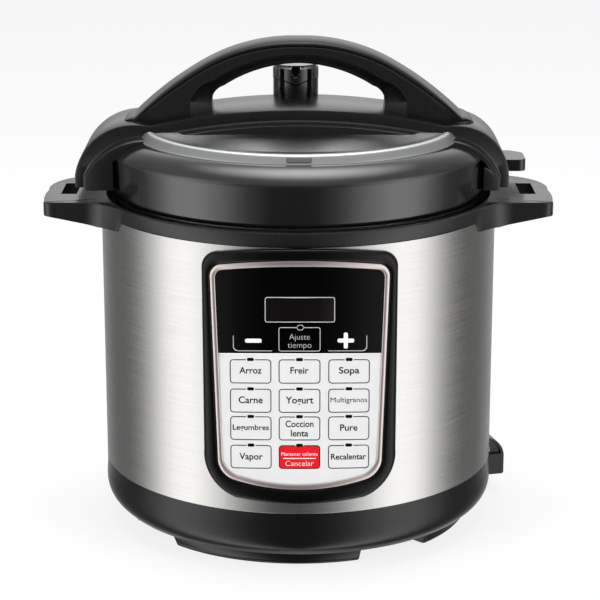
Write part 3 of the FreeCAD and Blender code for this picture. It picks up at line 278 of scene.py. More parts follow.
# ---- Base: one moulding that the housing plugs onto, with its four leg pads, the rubber feet under them,
# and the mains inlet's hood. Their sharp CAD edges get the small rounds of a mould.
def settled(name, mesh, body, slot, sharp=32, bevel=0.0, finish=None):
    """Closes a mesh, turns its faces outwards, smooths what is round and makes it a piece on a body.
    bevel rounds edges by that many millimetres."""
    work = bmesh.new()
    work.from_mesh(mesh)
    bmesh.ops.remove_doubles(work, verts=work.verts, dist=1e-6)
    bmesh.ops.recalc_face_normals(work, faces=work.faces)
    work.to_mesh(mesh)
    work.free()
    mesh.shade_smooth()
    mesh.set_sharp_from_angle(angle=np.radians(sharp))
    mesh.materials.clear()
    mesh.materials.append(finish or finishes[slot])
    piece = bpy.data.objects.new(name, mesh)
    scene.collection.objects.link(piece)
    if bevel:
        rounding = piece.modifiers.new("rounding", "BEVEL")
        rounding.width = bevel * 0.001
        rounding.segments = 3
        rounding.limit_method = "ANGLE"
        rounding.angle_limit = np.radians(sharp)
        rounding.harden_normals = True
    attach(piece, body)
    return piece


belly_top, belly_fall = 0.036, 0.022        # metres: the outside fills out from this height, over this depth
belly_start, belly_reach = 0.100, 0.012     # metres from the axis: what lies further in stays as it is


def eased(node, slot, bevel=0.0, finish=None, belly=0.0):
    """The CAD piece with its flat faces made whole, its round faces smooth and its edges rounded.
    belly, in metres, moves the outside out by a smooth step from belly_top down."""
    mesh = frame["nodes"][node].data.copy()
    work = bmesh.new()
    work.from_mesh(mesh)
    bmesh.ops.remove_doubles(work, verts=work.verts, dist=1e-6)
    bmesh.ops.dissolve_limit(work, angle_limit=np.radians(0.6), verts=work.verts, edges=work.edges)
    work.to_mesh(mesh)
    work.free()
    if belly:
        spot = np.empty(len(mesh.vertices) * 3)
        mesh.vertices.foreach_get("co", spot)
        spot = spot.reshape(-1, 3)
        radius = np.hypot(spot[:, 0], spot[:, 1])
        share = (np.clip((belly_top - spot[:, 2]) / belly_fall, 0, 1)
                 * np.clip((radius - belly_start) / belly_reach, 0, 1))
        spot[:, :2] *= (1 + belly * share ** 2 * (3 - 2 * share) / np.maximum(radius, 0.01))[:, None]
        mesh.vertices.foreach_set("co", spot.ravel())
    body = frame["nodes"][node]["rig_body"]
    piece = settled(node + "_moulded", mesh, body, slot, bevel=bevel, finish=finish)
    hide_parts(node)
    return piece


def skin(grid, around=False, along=False, capped=False):
    """Mesh over a grid of points in millimetres, rows first. around closes every row onto its own start,
    along closes the last row onto the first, and capped puts a face on the first and the last row."""
    rows, columns = grid.shape[:2]
    i, j = np.meshgrid(np.arange(rows if along else rows - 1), np.arange(columns if around else columns - 1),
                       indexing="ij")
    right, down = (j + 1) % columns, (i + 1) % rows
    quads = np.stack([i * columns + j, i * columns + right, down * columns + right, down * columns + j], -1)
    faces = quads.reshape(-1, 4).tolist()
    if capped:
        faces += [list(range(columns)), list(range((rows - 1) * columns, rows * columns))]
    mesh = bpy.data.meshes.new("skin")
    mesh.from_pydata((grid.reshape(-1, 3) * 0.001).tolist(), [], faces)
    return mesh


# moulded ABS with a silk polish: soft broad highlights on deep black
satin = grained("moulded black ABS", "#0c0c0d", 0.2, grain=1.0, depth=0.01, spread=0.04, IOR=1.42)
eased("base_ring", "gloss_black", bevel=0.8, finish=satin, belly=0.0040)
eased("foot_pads", "foot_rubber")
eased("inlet_hood", "black_plastic", bevel=1.2)
leg_middles, leg_half = (-102.0, -12.0, 78.0, 168.0), 32.2      # degrees
leg_side = np.array([(91.5, 0.9), (114.4, 0.9), (115.8, 1.5), (116.4, 2.8), (120.2, 10.6), (119.6, 13.0),
                     (91.0, 13.0)])
for number, middle in enumerate(leg_middles):
    # a leg is its side section (radius, height) carried round the cooker's axis
    swing = np.radians(middle + np.linspace(-leg_half, leg_half, 33))[:, None]
    leg = skin(np.stack([leg_side[:, 0] * np.cos(swing), leg_side[:, 0] * np.sin(swing),
                         leg_side[:, 1] + 0 * swing], -1), around=True, capped=True)
    settled("leg_%d" % (number + 1), leg, "base", "gloss_black", sharp=50, bevel=1.6, finish=satin)


# ---- Housing: a brushed stainless sheet rolled into a tube, with an opening behind the panel.
# It stands on the base ring and the collar sits on its top edge.
def box_mm(node):
    """Lowest and highest corner of a CAD piece, in millimetres."""
    low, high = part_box(node)
    return np.array(low) * 1000, np.array(high) * 1000


housing_low, housing_high = box_mm("steel_housing")
body_radius = housing_high[0]
foil_low, foil_high = box_mm("keypad_foil")
behind_foil = 5.5           # the opening stays this far inside the foil's edges
cut_half = (foil_high[0] - foil_low[0]) / 2 - behind_foil
panel_x = (foil_high[0] + foil_low[0]) / 2
cut_low, cut_high = foil_low[2] + behind_foil, foil_high[2] - behind_foil
edge = np.arcsin((panel_x + np.array([-cut_half, cut_half])) / body_radius)
# a row and a column of faces close to every edge keep the shading of the wide faces between them even
near, beside = 0.3, np.radians(0.15)
turn = np.concatenate([
    [edge[0], edge[0] + beside], np.linspace(edge[0], edge[1], 25)[1:-1],
    [edge[1] - beside, edge[1], edge[1] + beside],
    np.linspace(edge[1], edge[0] + 2 * np.pi, 150)[1:-1], [edge[0] + 2 * np.pi - beside],
])
level = np.array([housing_low[2], housing_low[2] + near, cut_low - near, cut_low, cut_low + near,
                  cut_high - near, cut_high, cut_high + near, housing_high[2] - near, housing_high[2]])
angle, height = np.meshgrid(turn, level, indexing="ij")
sheet = skin(np.stack([body_radius * np.sin(angle), -body_radius * np.cos(angle), height], -1), along=True)
work = bmesh.new()
work.from_mesh(sheet)
opening = [f for f in work.faces if abs(f.calc_center_median().x * 1000 - panel_x) < cut_half
           and f.calc_center_median().y < 0 and cut_low < f.calc_center_median().z * 1000 < cut_high]
bmesh.ops.delete(work, geom=opening, context="FACES")
work.to_mesh(sheet)
work.free()
housing = settled("housing_sheet", sheet, "base", "brushed_steel")
wall = housing.modifiers.new("sheet", "SOLIDIFY")
wall.thickness = 0.0006
wall.offset = -1
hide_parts("steel_housing")


# ---- Panel frame: a rolled black rim, then a plated ring, both bent to the housing's curve.
# Both follow the same outline: an arched top, round shoulders, sides that narrow and a wide round foot.
def arc(start, through, end, count=12):
    """Points of the circle through three points, without its start: its centre is where the chords' mid-lines
    meet."""
    a, b, c = (complex(*p) for p in (start, through, end))
    w = (c - a) / (b - a)
    centre = a + (b - a) * (w - abs(w) ** 2) / (2j * w.imag)
    sweep = np.angle((c - centre) / (a - centre))
    points = centre + (a - centre) * np.exp(1j * sweep * np.linspace(0, 1, count + 1)[1:])
    return np.stack([points.real, points.imag], -1)


def straight(start, end, count=12):
    """Points of a line, without its start."""
    t = np.linspace(0, 1, count + 1)[1:, None]
    return np.array(start) * (1 - t) + np.array(end) * t


def outline(half, waist, top, bottom, shoulder, run, rise, drop):
    """Closed front-view outline of the panel, from the middle of its top, clockwise: an arched top,
    shoulders that start that far from the side, sides narrowing to waist, and lower corners of that run and
    rise over the foot, which itself is an arc that drops to its middle. A corner's arc passes 0.293 of its
    size from its own tip."""
    neck, hip = (half - shoulder, top - 4.0), (half, top - 4.6 - shoulder)
    low, toe = (waist, bottom + rise), (waist - run, bottom + drop)
    right = np.concatenate([
        arc((0, top), (neck[0] * 0.53, top - 1.1), neck),
        arc(neck, (half - 0.293 * shoulder, top - 4.2 - 0.293 * shoulder), hip), straight(hip, low),
        arc(low, (waist - 0.293 * run, bottom + drop + 0.32 * (rise - drop)), toe),
        arc(toe, (toe[0] * 0.5, bottom + drop * 0.25), (0, bottom)),
    ])
    left = right[-2::-1] * (-1, 1)
    return np.concatenate([right, left, [(0, top)]]) + (panel_x, 0)


def on_barrel(points, radius):
    """Front-view points (x, z) laid back onto a barrel of that radius."""
    y = -np.sqrt(np.broadcast_to(radius, points.shape[:-1]) ** 2 - points[..., 0] ** 2)
    return np.stack([points[..., 0], y, points[..., 1]], -1)


rim_low, rim_high = box_mm("panel_bezel")
half = rim_high[0] - panel_x
outer = outline(half, half - 0.3, rim_high[2] - 0.4, rim_low[2], 10.7, 20.0, 32.0, 2.2)
seat = outline(half - 5.0, half - 9.0, rim_high[2] - 7.6, rim_low[2] + 9.6, 8.7, 10.5, 18.5, 4.6)
inner = outline(half - 8.6, half - 12.4, rim_high[2] - 11.7, rim_low[2] + 13.4, 5.1, 10.9, 15.8, 3.8)


def rim_between(first, last, across, lift):
    """Band between two matching outlines: across is the share of the way from one to the other at each step
    of its section, lift the height over the housing there."""
    share = np.array(across)[None, :, None]
    points = first[:, None] * (1 - share) + last[:, None] * share
    return skin(on_barrel(points, body_radius + np.array(lift)[None, :]), around=True, along=True)


# a rolled section for the rim, a nearly flat one for the ring
rim = rim_between(outer, seat, [0.0, 0.0, 0.03, 0.12, 0.26, 0.42, 0.60, 0.78, 0.92, 0.99, 1.0, 1.0],
                  [0.1, 1.6, 2.6, 3.5, 3.95, 4.0, 3.9, 3.6, 3.2, 2.6, 2.0, 0.1])
# polished and hard coated: the deepest black here, with thin clear highlights along its roll
rim_black = grained("hard black coat", "#050505", 0.14, grain=14, depth=0.004, spread=0.02,
                    Specular_IOR_Level=0.2)
rim = settled("panel_rim", rim, "base", "gloss_black", sharp=70, finish=rim_black)
plated = rim_between(seat, inner, [0.02, 0.02, 0.08, 0.22, 0.45, 0.7, 0.9, 0.98, 0.98],
                     [1.3, 2.7, 3.1, 3.3, 3.25, 3.0, 2.6, 2.2, 1.3])
plated = settled("panel_ring", plated, "base", "trim_silver", sharp=70)
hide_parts("panel_trim")
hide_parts("panel_bezel")


# ---- Collar: black PP moulding on top of the housing, with a moat that the lid's skirt drops into. A side
# handle grows out of each side in a sweep, thinner towards its end, with a slot to stand the lid in by its
# tab.
_, collar_high = box_mm("collar")
rim_z, reach = collar_high[2], collar_high[0]
circle = np.radians(np.linspace(-90, -31.5, 60))
root_in = body_radius * np.array([np.cos(circle[-1]), np.sin(circle[-1])])
side_plan = np.concatenate([
    body_radius * np.stack([np.cos(circle), np.sin(circle)], -1),
    arc(root_in, (122.4, -57.0), (127.5, -52.0), 8), arc((127.5, -52.0), (133.6, -48.2), (141.0, -46.8), 8),
    straight((141.0, -46.8), (reach - 6.5, -46.3), 10),
    arc((reach - 6.5, -46.3), (reach - 3.0, -44.6), (reach - 1.6, -38.5), 8),
    arc((reach - 1.6, -38.5), (reach, -17.0), (reach - 1.0, -4.0), 12),
    arc((reach - 1.0, -4.0), (reach - 8.0, 27.0), (reach - 32.0, 42.0), 14),
    arc((reach - 32.0, 42.0), (126.2, 47.0), (118.5, 58.14), 10),
    body_radius * np.stack([np.cos(-circle[::-1]), np.sin(-circle[::-1])], -1)[5:],
])
plan = np.concatenate([side_plan[:-1], (side_plan * (-1, 1))[:0:-1]])
out = np.linalg.norm(plan, axis=1)
ray = plan / out[:, None]
# where the outline stands out of the housing, the underside drops to the grip's, which slopes up to its end
stands_out = np.clip((out - body_radius - 0.2) / 0.8, 0, 1)
grip_root, grip_end, slope = 209.5, 215.7, 0.2
grip_under = np.clip(grip_root + (np.abs(plan[:, 0]) - body_radius) * slope, grip_root, grip_end)
under = housing_high[2] * (1 - stands_out) + grip_under * stands_out


def collar_ring(radius, z, inset=None):
    """Points round the collar at a radius, or at its outline less an inset, at height z."""
    flat = ray * radius if inset is None else ray * (out - inset)[:, None]
    return np.concatenate([flat, np.broadcast_to(z, len(flat))[:, None]], 1)


ledge, ledge_z = body_radius + 0.05, housing_high[2] + 0.05
moat, moat_floor, inner_wall, inner_top = 128.7, 206.0, 116.7, 217.0
bore, floor_under, spigot = 114.5, 203.5, 131.2
collar_section = np.stack([
    collar_ring(0, under, 0.7), collar_ring(0, under + 0.2, 0.2), collar_ring(0, under + 0.8, 0),
    collar_ring(0, rim_z - 1.3, 0), collar_ring(0, rim_z - 0.5, 0.25), collar_ring(0, rim_z, 1.1),
    collar_ring(moat + 0.6, rim_z), collar_ring(moat + 0.1, rim_z - 0.4), collar_ring(moat, rim_z - 1.0),
    collar_ring(moat, moat_floor), collar_ring(inner_wall, moat_floor), collar_ring(inner_wall, inner_top),
    collar_ring(bore, inner_top), collar_ring(bore, floor_under), collar_ring(spigot, floor_under),
    collar_ring(spigot, ledge_z), collar_ring(ledge, ledge_z), collar_ring(ledge, np.minimum(under, ledge_z)),
], axis=1)
collar = skin(collar_section, around=True, along=True)
collar = settled("collar_moulding", collar, "base", "black_plastic", sharp=40)
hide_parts("collar")


def pierced(piece, place, size, round_hole=False):
    """Cuts a box, or a round hole of size[0] across, out of a piece for good; place and size in metres."""
    hole = bpy.data.meshes.new("hole")
    work = bmesh.new()
    if round_hole:
        bmesh.ops.create_cone(work, cap_ends=True, segments=64, radius1=0.5, radius2=0.5, depth=1.0)
    else:
        bmesh.ops.create_cube(work, size=1.0)
    work.to_mesh(hole)
    work.free()
    hole.transform(Matrix.Translation(place) @ Matrix.Diagonal((*size, 1)))
    cutter = bpy.data.objects.new("hole", hole)
    cut = piece.modifiers.new("hole", "BOOLEAN")
    cut.operation, cut.object, cut.solver = "DIFFERENCE", cutter, "EXACT"
    scene.collection.objects.link(cutter)
    bpy.context.view_layer.update()
    shaped = bpy.data.meshes.new_from_object(piece.evaluated_get(bpy.context.evaluated_depsgraph_get()))
    piece.modifiers.clear()
    piece.data = shaped
    bpy.data.objects.remove(cutter)


slot_x, slot_y, slot_z, slot_size = 0.15225, -0.00325, 0.22, (0.0105, 0.0335, 0.04)     # metres
for side in (-1, 1):
    pierced(collar, (side * slot_x, slot_y, slot_z), slot_size)


# ---- Keypad foil: printed polyester film on the panel's barrel face, black above and light grey below,
# with the outlines of its keys, a small lamp window in each, the time key's hexagon, minus, plus and the
# display's frame. Print is laid out in the flat front view and laid back onto the barrel.
def inks(name, code, rough=0.42, gloss=0.5):
    """A dull screen-printing ink on the film."""
    return grained(name, code, rough, grain=0.4, depth=0.03, Specular_IOR_Level=gloss)


def rounded(corners, reach):
    """Closed outline with each corner turned into a soft round: a parabola of five steps between points that
    lie reach (mm) before and after the corner."""
    p = np.array(corners, float)
    before, after = np.roll(p, 1, 0) - p, np.roll(p, -1, 0) - p
    reach = np.broadcast_to(np.array(reach, float), len(p))
    start, end = (p + way * (np.minimum(reach / np.linalg.norm(way, axis=1), 0.45))[:, None]
                  for way in (before, after))
    t = np.linspace(0, 1, 6)[None, :, None]
    curve = (1 - t) ** 2 * start[:, None] + 2 * t * (1 - t) * p[:, None] + t ** 2 * end[:, None]
    return curve.reshape(-1, 2)


def cut_out(*loops):
    """Flat mesh (X across, Y up, mm) inside closed loops; a loop within another is a hole."""
    curve = bpy.data.curves.new("loops", "CURVE")
    curve.dimensions, curve.fill_mode = "2D", "BOTH"
    for loop in loops:
        loop = loop[np.linalg.norm(loop - np.roll(loop, 1, 0), axis=1) > 1e-3]
        spline = curve.splines.new("POLY")
        spline.points.add(len(loop) - 1)
        spline.points.foreach_set("co", np.c_[loop, np.zeros(len(loop)), np.ones(len(loop))].ravel())
        spline.use_cyclic_u = True
    return bpy.data.meshes.new_from_object(bpy.data.objects.new("loops", curve))


film_radius = 133.85
view_drop = 0.285         # the layout is seen from a little above: what lies back shows higher by this share


def wrapped(name, flat, lift, finish, below=None, above=None):
    """A flat print as a piece on the barrel, lift (mm) over the film: cut every few millimetres across so
    that it bends, clipped below or above a height, and a hair thick. Later inks lie higher."""
    radius = film_radius + lift
    work = bmesh.new()
    for mesh in flat:
        work.from_mesh(mesh)
    for limit, side in ((below, "clear_inner"), (above, "clear_outer")):
        if limit is not None:
            bmesh.ops.bisect_plane(work, geom=work.verts[:] + work.edges[:] + work.faces[:],
                                   plane_co=(0, limit, 0), plane_no=(0, 1, 0), **{side: True})
    for across in np.arange(-60, 62, 3.0):
        bmesh.ops.bisect_plane(work, geom=work.verts[:] + work.edges[:] + work.faces[:],
                               plane_co=(across, 0, 0), plane_no=(1, 0, 0))
    mesh = bpy.data.meshes.new(name)
    work.to_mesh(mesh)
    work.free()
    spot = np.empty(len(mesh.vertices) * 3)
    mesh.vertices.foreach_get("co", spot)
    spot = spot.reshape(-1, 3)
    depth = np.sqrt(radius ** 2 - spot[:, 0] ** 2)
    spot = np.stack([spot[:, 0], -depth, spot[:, 1] - view_drop * (radius - depth)], -1) * 0.001
    mesh.vertices.foreach_set("co", spot.ravel())
    mesh.materials.append(finish)
    mesh.shade_smooth()
    piece = bpy.data.objects.new(name, mesh)
    scene.collection.objects.link(piece)
    film = piece.modifiers.new("ink", "SOLIDIFY")
    film.thickness, film.offset = 0.00004, -1
    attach(piece, "base")
    return piece


def frame_line(centre, width, height, reach, line):
    """Two loops: a rounded rectangle and the same one a line's width further in."""
    loops = []
    for less in (0.0, line):
        w, h = width / 2 - less, height / 2 - less
        corners = np.array([(-w, -h), (w, -h), (w, h), (-w, h)]) + centre
        loops.append(rounded(corners, max(reach - less, 0.3)))
    return loops


flat_inner = outline(half - 7.7, half - 11.5, rim_high[2] - 10.8, rim_low[2] + 12.5, 6.0, 10.8, 16.5, 4.0)
flat_inner[:, 1] += view_drop * (film_radius - np.sqrt(film_radius ** 2 - flat_inner[:, 0] ** 2))
divide = 149.1
# opaque inks, dull beside the frame: the black one lies glossy on the film, the others dry matt
black_ink, grey_ink = inks("black ink", "#020202", 0.15, 0.08), inks("light grey ink", "#d9d9da", 0.5, 0.2)
dark_ink, word_ink = inks("dark outline ink", "#120f10", 0.5, 0.1), inks("word ink", "#080606", 0.5, 0.1)
light_ink, white_ink = inks("pale outline ink", "#b9b6b6"), inks("white ink", "#f4f4f4")
red_ink = inks("red ink", "#e00016", 0.5, 0.2)
display = frame_line((1.05, 177.45), 43.5, 16.3, 1.6, 0.5)
wrapped("film_black", [cut_out(flat_inner, display[0])], 0.06, black_ink, below=divide)
wrapped("film_grey", [cut_out(flat_inner)], 0.06, grey_ink, above=divide)
wrapped("film_divide", [cut_out(flat_inner)], 0.09, white_ink, below=divide - 0.25, above=divide + 0.25)
wrapped("display_frame", [cut_out(*display)], 0.12, light_ink)

key_x, key_tops = (-29.85, 0.8, 31.8), (145.4, 126.2, 108.0, 89.0)
key_width, key_height, key_round, key_line, lamp_gap = 26.1, 15.8, 2.6, 0.6, 2.9
key_lines, red_lines, red_faces, lamp_holes = [], [], [], []
for row, top in enumerate(key_tops):
    for column, x in enumerate(key_x):
        loops = []
        for less in (0.0, key_line):
            w, low, high = key_width / 2 - less, top - key_height + less, top - less
            corners = [(x + lamp_gap, high), (x + w, high), (x + w, low), (x - w, low), (x - w, high),
                       (x - lamp_gap, high)]
            loops.append(rounded(corners, [0.01, *[key_round - less] * 4, 0.01]))
        # the outline is open at its middle top: one strip round the key, out and back
        strip = cut_out(np.concatenate([loops[0], loops[1][::-1]]))
        red = row == 3 and column == 1
        (red_lines if red else key_lines).append(strip)
        if red:
            face = frame_line((x, top - key_height / 2), key_width - 0.7, key_height - 0.7, 2.3, 1)[0]
            red_faces.append(cut_out(face))
        lamp_holes.append(cut_out(frame_line((x, top - 0.1), 4.3, 2.1, 0.9, 1)[0]))
wrapped("key_outlines", key_lines, 0.11, dark_ink)
wrapped("stop_key_outline", red_lines, 0.13, dark_ink)
wrapped("stop_key", red_faces, 0.11, red_ink)
wrapped("key_lamps", lamp_holes, 0.15, black_ink)

time_key = frame_line((0.8, 158.4), 26.0, 15.6, 1.6, 0.45)
lamp_x, lamp_z = 1.3, 166.0
turn = np.radians([0, 60, 120, 180, 240, 300])
six = np.stack([np.cos(turn), np.sin(turn) / np.sin(np.radians(60))], -1)
hexagon, small = ((lamp_x, lamp_z) + six * (2.55, 1.75)), ((lamp_x, lamp_z) + six * (2.1, 1.35))
wrapped("time_key_outline", [cut_out(*time_key)], 0.12, light_ink)
wrapped("time_lamp_mask", [cut_out(hexagon)], 0.14, black_ink)
wrapped("time_lamp_outline", [cut_out(hexagon, small)], 0.16, light_ink)
minus, plus, bar, stroke = (-27.9, 157.5), (29.6, 157.6), 10.4, 2.6
level_bars = [cut_out(frame_line(sign, bar, stroke, 1.2, 1)[0]) for sign in (minus, plus)]
wrapped("minus_and_plus", level_bars, 0.12, white_ink)
wrapped("plus_upright", [cut_out(frame_line(plus, stroke, bar, 1.2, 1)[0])], 0.13, white_ink)
brackets = []
for way, out_x, in_x in ((-1, -40.7, -16.6), (1, 43.0, 18.9)):
    bend = arc((out_x, 153.5), (out_x - way * 0.85, 151.5), (out_x - way * 2.9, 150.7), 6)
    path = np.concatenate([[(out_x, 160.6), (out_x, 153.5)], bend, [(in_x, 150.7)]])
    inside = path + np.array([-way * 0.45, 0.45])
    brackets.append(cut_out(np.concatenate([path, inside[::-1]])))
wrapped("key_brackets", brackets, 0.12, light_ink)


print_weight = 0.015        # how much the letters' strokes are thickened; the smallest words stay thin


def word(text, x, baseline, width, cap, heavy):
    """Flat mesh of a word centred on x, as wide as given, with capitals cap mm high; heavy thickens its
    strokes."""
    sizes = []
    for body in (text, "H"):
        letters = bpy.data.curves.new("letters", "FONT")
        letters.body = body
        letters.resolution_u = 4
        letters.offset = heavy if body == text else 0.0
        mesh = bpy.data.meshes.new_from_object(bpy.data.objects.new("letters", letters))
        spot = np.empty(len(mesh.vertices) * 3)
        mesh.vertices.foreach_get("co", spot)
        sizes.append((mesh, spot.reshape(-1, 3)))
    (mesh, spot), (_, capital) = sizes
    low, high = spot[:, 0].min(), spot[:, 0].max()
    spot[:, 0] = x + (spot[:, 0] - (low + high) / 2) * width / (high - low)
    spot[:, 1] = baseline + spot[:, 1] * cap / capital[:, 1].max()
    mesh.vertices.foreach_set("co", spot.ravel())
    return mesh


# each word with its key's column and row, its baseline below the key's top, its width, its capitals' height
labels = [
    ("Arroz", -1, 0, 9.2, 14.0, 4.1), ("Freir", 0, 0, 9.2, 11.4, 4.1), ("Sopa", 1, 0, 9.2, 12.9, 4.1),
    ("Carne", -1, 1, 9.5, 15.1, 4.3), ("Yogurt", 0, 1, 9.5, 17.3, 4.3), ("Multigranos", 1, 1, 9.0, 23.2, 3.3),
    ("Legumbres", -1, 2, 9.0, 22.9, 3.4), ("Coccion", 0, 2, 6.9, 17.6, 4.1), ("lenta", 0, 2, 13.1, 11.0, 4.1),
    ("Pure", 1, 2, 9.5, 11.0, 4.1), ("Vapor", -1, 3, 9.7, 14.8, 4.2), ("Recalentar", 1, 3, 9.7, 22.4, 3.8),
]
small_cap = 3.35
words = [word(text, key_x[column + 1], key_tops[row] - down, width, cap,
              0.0 if cap < small_cap else print_weight)
         for text, column, row, down, width, cap in labels]
wrapped("key_words", words, 0.13, word_ink)
stop_words = [word("Mantener caliente", key_x[1], key_tops[3] - 6.9, 22.9, 2.2, 0.0),
              word("Cancelar", key_x[1], key_tops[3] - 13.8, 17.8, 3.4, -0.01),
              cut_out(frame_line((key_x[1], key_tops[3] - 8.8), 20.5, 0.5, 0.1, 0.05)[0])]
wrapped("stop_words", stop_words, 0.14, white_ink)
time_words = [word("Ajuste", key_x[1], 158.2, 12.8, 3.7, -print_weight),
              word("tiempo", key_x[1], 152.9, 14.7, 3.7, -print_weight)]
wrapped("time_words", time_words, 0.13, light_ink)


# ---- Lid cover and its steel plate: a black moulded dome with a turned-down skirt, and a round plate of spun
# stainless steel glued into its bed; the plate's rim is bevelled and has a small locating notch at the front,
# shown as a pad of painted shade.
def turned(profile, count=192):
    """Closed profile of (radius, height) carried round the cooker's axis."""
    angle = np.linspace(0, 2 * np.pi, count, endpoint=False)[:, None]
    grid = np.stack([profile[:, 0] * np.cos(angle), profile[:, 0] * np.sin(angle),
                     np.broadcast_to(profile[:, 1], (count, len(profile)))], -1)
    return skin(grid, around=True, along=True)


# profile (radius, height): up the skirt, round the crease, over the shoulder, into the plate's bed and back
# inside
crease, bed, wall = 125.3, 261.5, 1.8
skirt_z, crease_z, shoulder_z, rim_radius = 226.5, 251.4, 255.4, 108.5
plate_foot = 263.3
dome = np.concatenate([
    [(123.2, skirt_z), (crease - 0.8, skirt_z), (crease - 0.4, skirt_z + 0.7)],
    straight((crease - 0.4, skirt_z + 0.7), (crease, crease_z), 6),
    arc((crease, crease_z), (crease - 0.5, 253.7), (crease - 1.7, shoulder_z), 6),
    arc((crease - 1.7, shoulder_z), (118.6, 259.7), (rim_radius, plate_foot), 12),
    [(106.3, plate_foot), (106.3, bed), (78, bed), (78, bed - wall), (105.5, bed - wall)],
    arc((105.5, bed - wall), (117.6, 257.8), (crease - wall, 252.7), 8),
])
dome = settled("lid_dome", turned(dome), "lid", "gloss_black", sharp=40)
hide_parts("lid_cover")
spun, tree, shader, place = finish("spun stainless steel")
# polished in rings round its middle: reflections run out into a fan, and fine rings show in the gloss
away = add(tree, "ShaderNodeVectorMath", {0: place, 1: (1, 1, 0)}, operation="MULTIPLY").outputs[0]
reach = add(tree, "ShaderNodeVectorMath", {0: away}, operation="LENGTH").outputs["Value"]
rings_per_metre = 2200.0    # a ring every half millimetre: as coarse as they must be to show
count = add(tree, "ShaderNodeMath", {0: reach, 1: rings_per_metre}, operation="MULTIPLY").outputs[0]
rings = add(tree, "ShaderNodeTexNoise", {"W": count, "Detail": 3.0, "Scale": 1.0},
            noise_dimensions="1D").outputs[0]
rough = add(tree, "ShaderNodeMapRange", {0: rings, 1: 0.3, 2: 0.7, 3: 0.28, 4: 0.4}).outputs[0]
tree.links.new(rough, shader.inputs["Roughness"])
grooves = add(tree, "ShaderNodeBump", {"Height": rings, "Strength": 0.02, "Distance": 0.0005}).outputs[0]
tree.links.new(grooves, shader.inputs["Normal"])
tree.links.new(add(tree, "ShaderNodeTangent", direction_type="RADIAL", axis="Z").outputs[0],
               shader.inputs["Tangent"])
shader.inputs["Anisotropic"].default_value = 0.9
shader.inputs["Metallic"].default_value = 1.0
shader.inputs["Base Color"].default_value = colour("#b9babb")
# profile of the plate: crowned a little in its middle, which is open under the saddle, then a bevel down to
# its rim
plate_edge, plate_top, plate_lip, swell, gauge = 104.8, 268.3, rim_radius, 1.3, 0.8
share = np.linspace(0.36, 1, 13)
crown_line = np.stack([plate_edge * share, plate_top + swell * (1 - share ** 2)], -1)
plate_line = np.concatenate([
    crown_line[:-1],
    arc(crown_line[-2], (plate_edge - 0.4, plate_top + 0.02), (plate_edge + 0.25, plate_top - 0.45), 5),
    straight((plate_edge + 0.25, plate_top - 0.45), (plate_lip - 0.1, plate_foot + 0.3), 4),
    [(plate_lip, plate_foot), (plate_lip - 1.1, plate_foot), (plate_edge - 0.6, plate_top - gauge)],
    (crown_line - (0, gauge))[-2::-1],
])
plate = settled("lid_plate", turned(plate_line, 256), "lid", "brushed_steel", sharp=25, finish=spun)
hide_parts("lid_trim_plate")
# holes for the valve weight and the float, in metres: the middle, and the size across
valve_hole = (-0.0018, 0.034, 0.265), (0.0226, 0.0226, 0.08)
float_hole = (0.0, 0.064, 0.265), (0.013, 0.013, 0.08)
pierced(plate, *valve_hole, round_hole=True)
pierced(plate, *float_hole, round_hole=True)
# the locating notch as painted shade: a small darker grey pad on the bevel at the front, with round ends, a
# hair proud of it, standing in for the shade in the notch's recess
down = np.linspace(0.16, 0.84, 6)[:, None]
across = np.linspace(-1, 1, 25)
notch_x, notch_half, notch_round, proud = 0.45, 5.85, 2.2, 0.12
pad_x = notch_x + (np.sqrt(np.clip(1 - (down * 2 - 1) ** 2, 0, 1)) * notch_round + notch_half) * across
pad_r = plate_edge + (plate_lip - plate_edge) * down + proud + 0 * pad_x
pad_z = plate_top - (plate_top - plate_foot) * down + proud + 0 * pad_x
pad = skin(np.stack([pad_x, -np.sqrt(pad_r ** 2 - pad_x ** 2), pad_z], -1))
# painted shade: a darker grey metal where the notch's recess would lie in shadow; the plate is not cut there
notch_painted_shade = grained("steel with painted notch shade", "#77777a", 0.5, metal=1.0, grain=0.6, depth=0.05)
pad = settled("locating_notch_shade_pad", pad, "lid", "brushed_steel", sharp=60, finish=notch_painted_shade)
thin = pad.modifiers.new("thick", "SOLIDIFY")
thin.thickness, thin.offset = 0.0003, -1


# ---- Lid saddle: black ABS moulding that bridges the lid and comes down in two fins outside its cover. Its
# front and back bands are lower than its crown. A tongue behind it seats the knob; a tab on the right fin
# parks the lid.
def front_route(start, pieces):
    """Points (x, z) of a chain of ("line", end, count) and ("arc", through, end, count) pieces."""
    points = [np.array([start], float)]
    for piece in pieces:
        last = points[-1][-1]
        points.append(straight(last, piece[1], piece[2]) if piece[0] == "line" else arc(last, *piece[1:]))
    return np.concatenate(points)


saddle_low, saddle_high = box_mm("lid_bridge")
crown, fin_foot = saddle_high[2], saddle_low[2]
left_fin, right_fin = 147.0, 138.6


def saddle_line(inset):
    """Front-view line of the saddle, left foot over the crown to the right foot, lowered by inset."""
    top, knee_z = crown - 1.15 * inset, crown - 10.8 - 1.1 * inset
    left, right, knee = left_fin - inset, right_fin - inset, plate_lip - 11.5 - 0.3 * inset
    return front_route((-left, fin_foot), [
        ("line", (-left, fin_foot + 8), 3), ("arc", (-left + 12.2, knee_z - 9.6), (-knee, knee_z), 20),
        ("arc", (0, top), (knee, knee_z), 40),
        ("arc", (right - 11.6, knee_z - 8.2), (right, fin_foot + 8), 20), ("line", (right, fin_foot), 3),
    ])


def lined(line, y):
    """A front-view line at depth y."""
    return np.stack([line[:, 0], np.full(len(line), float(y)), line[:, 1]], -1)


under_side = front_route((-121, fin_foot), [
    ("line", (-121, 251), 3), ("line", (-104, 261.5), 20), ("line", (0, 266), 20), ("line", (104, 261.5), 20),
    ("line", (121, 251), 20), ("line", (121, fin_foot), 3),
])
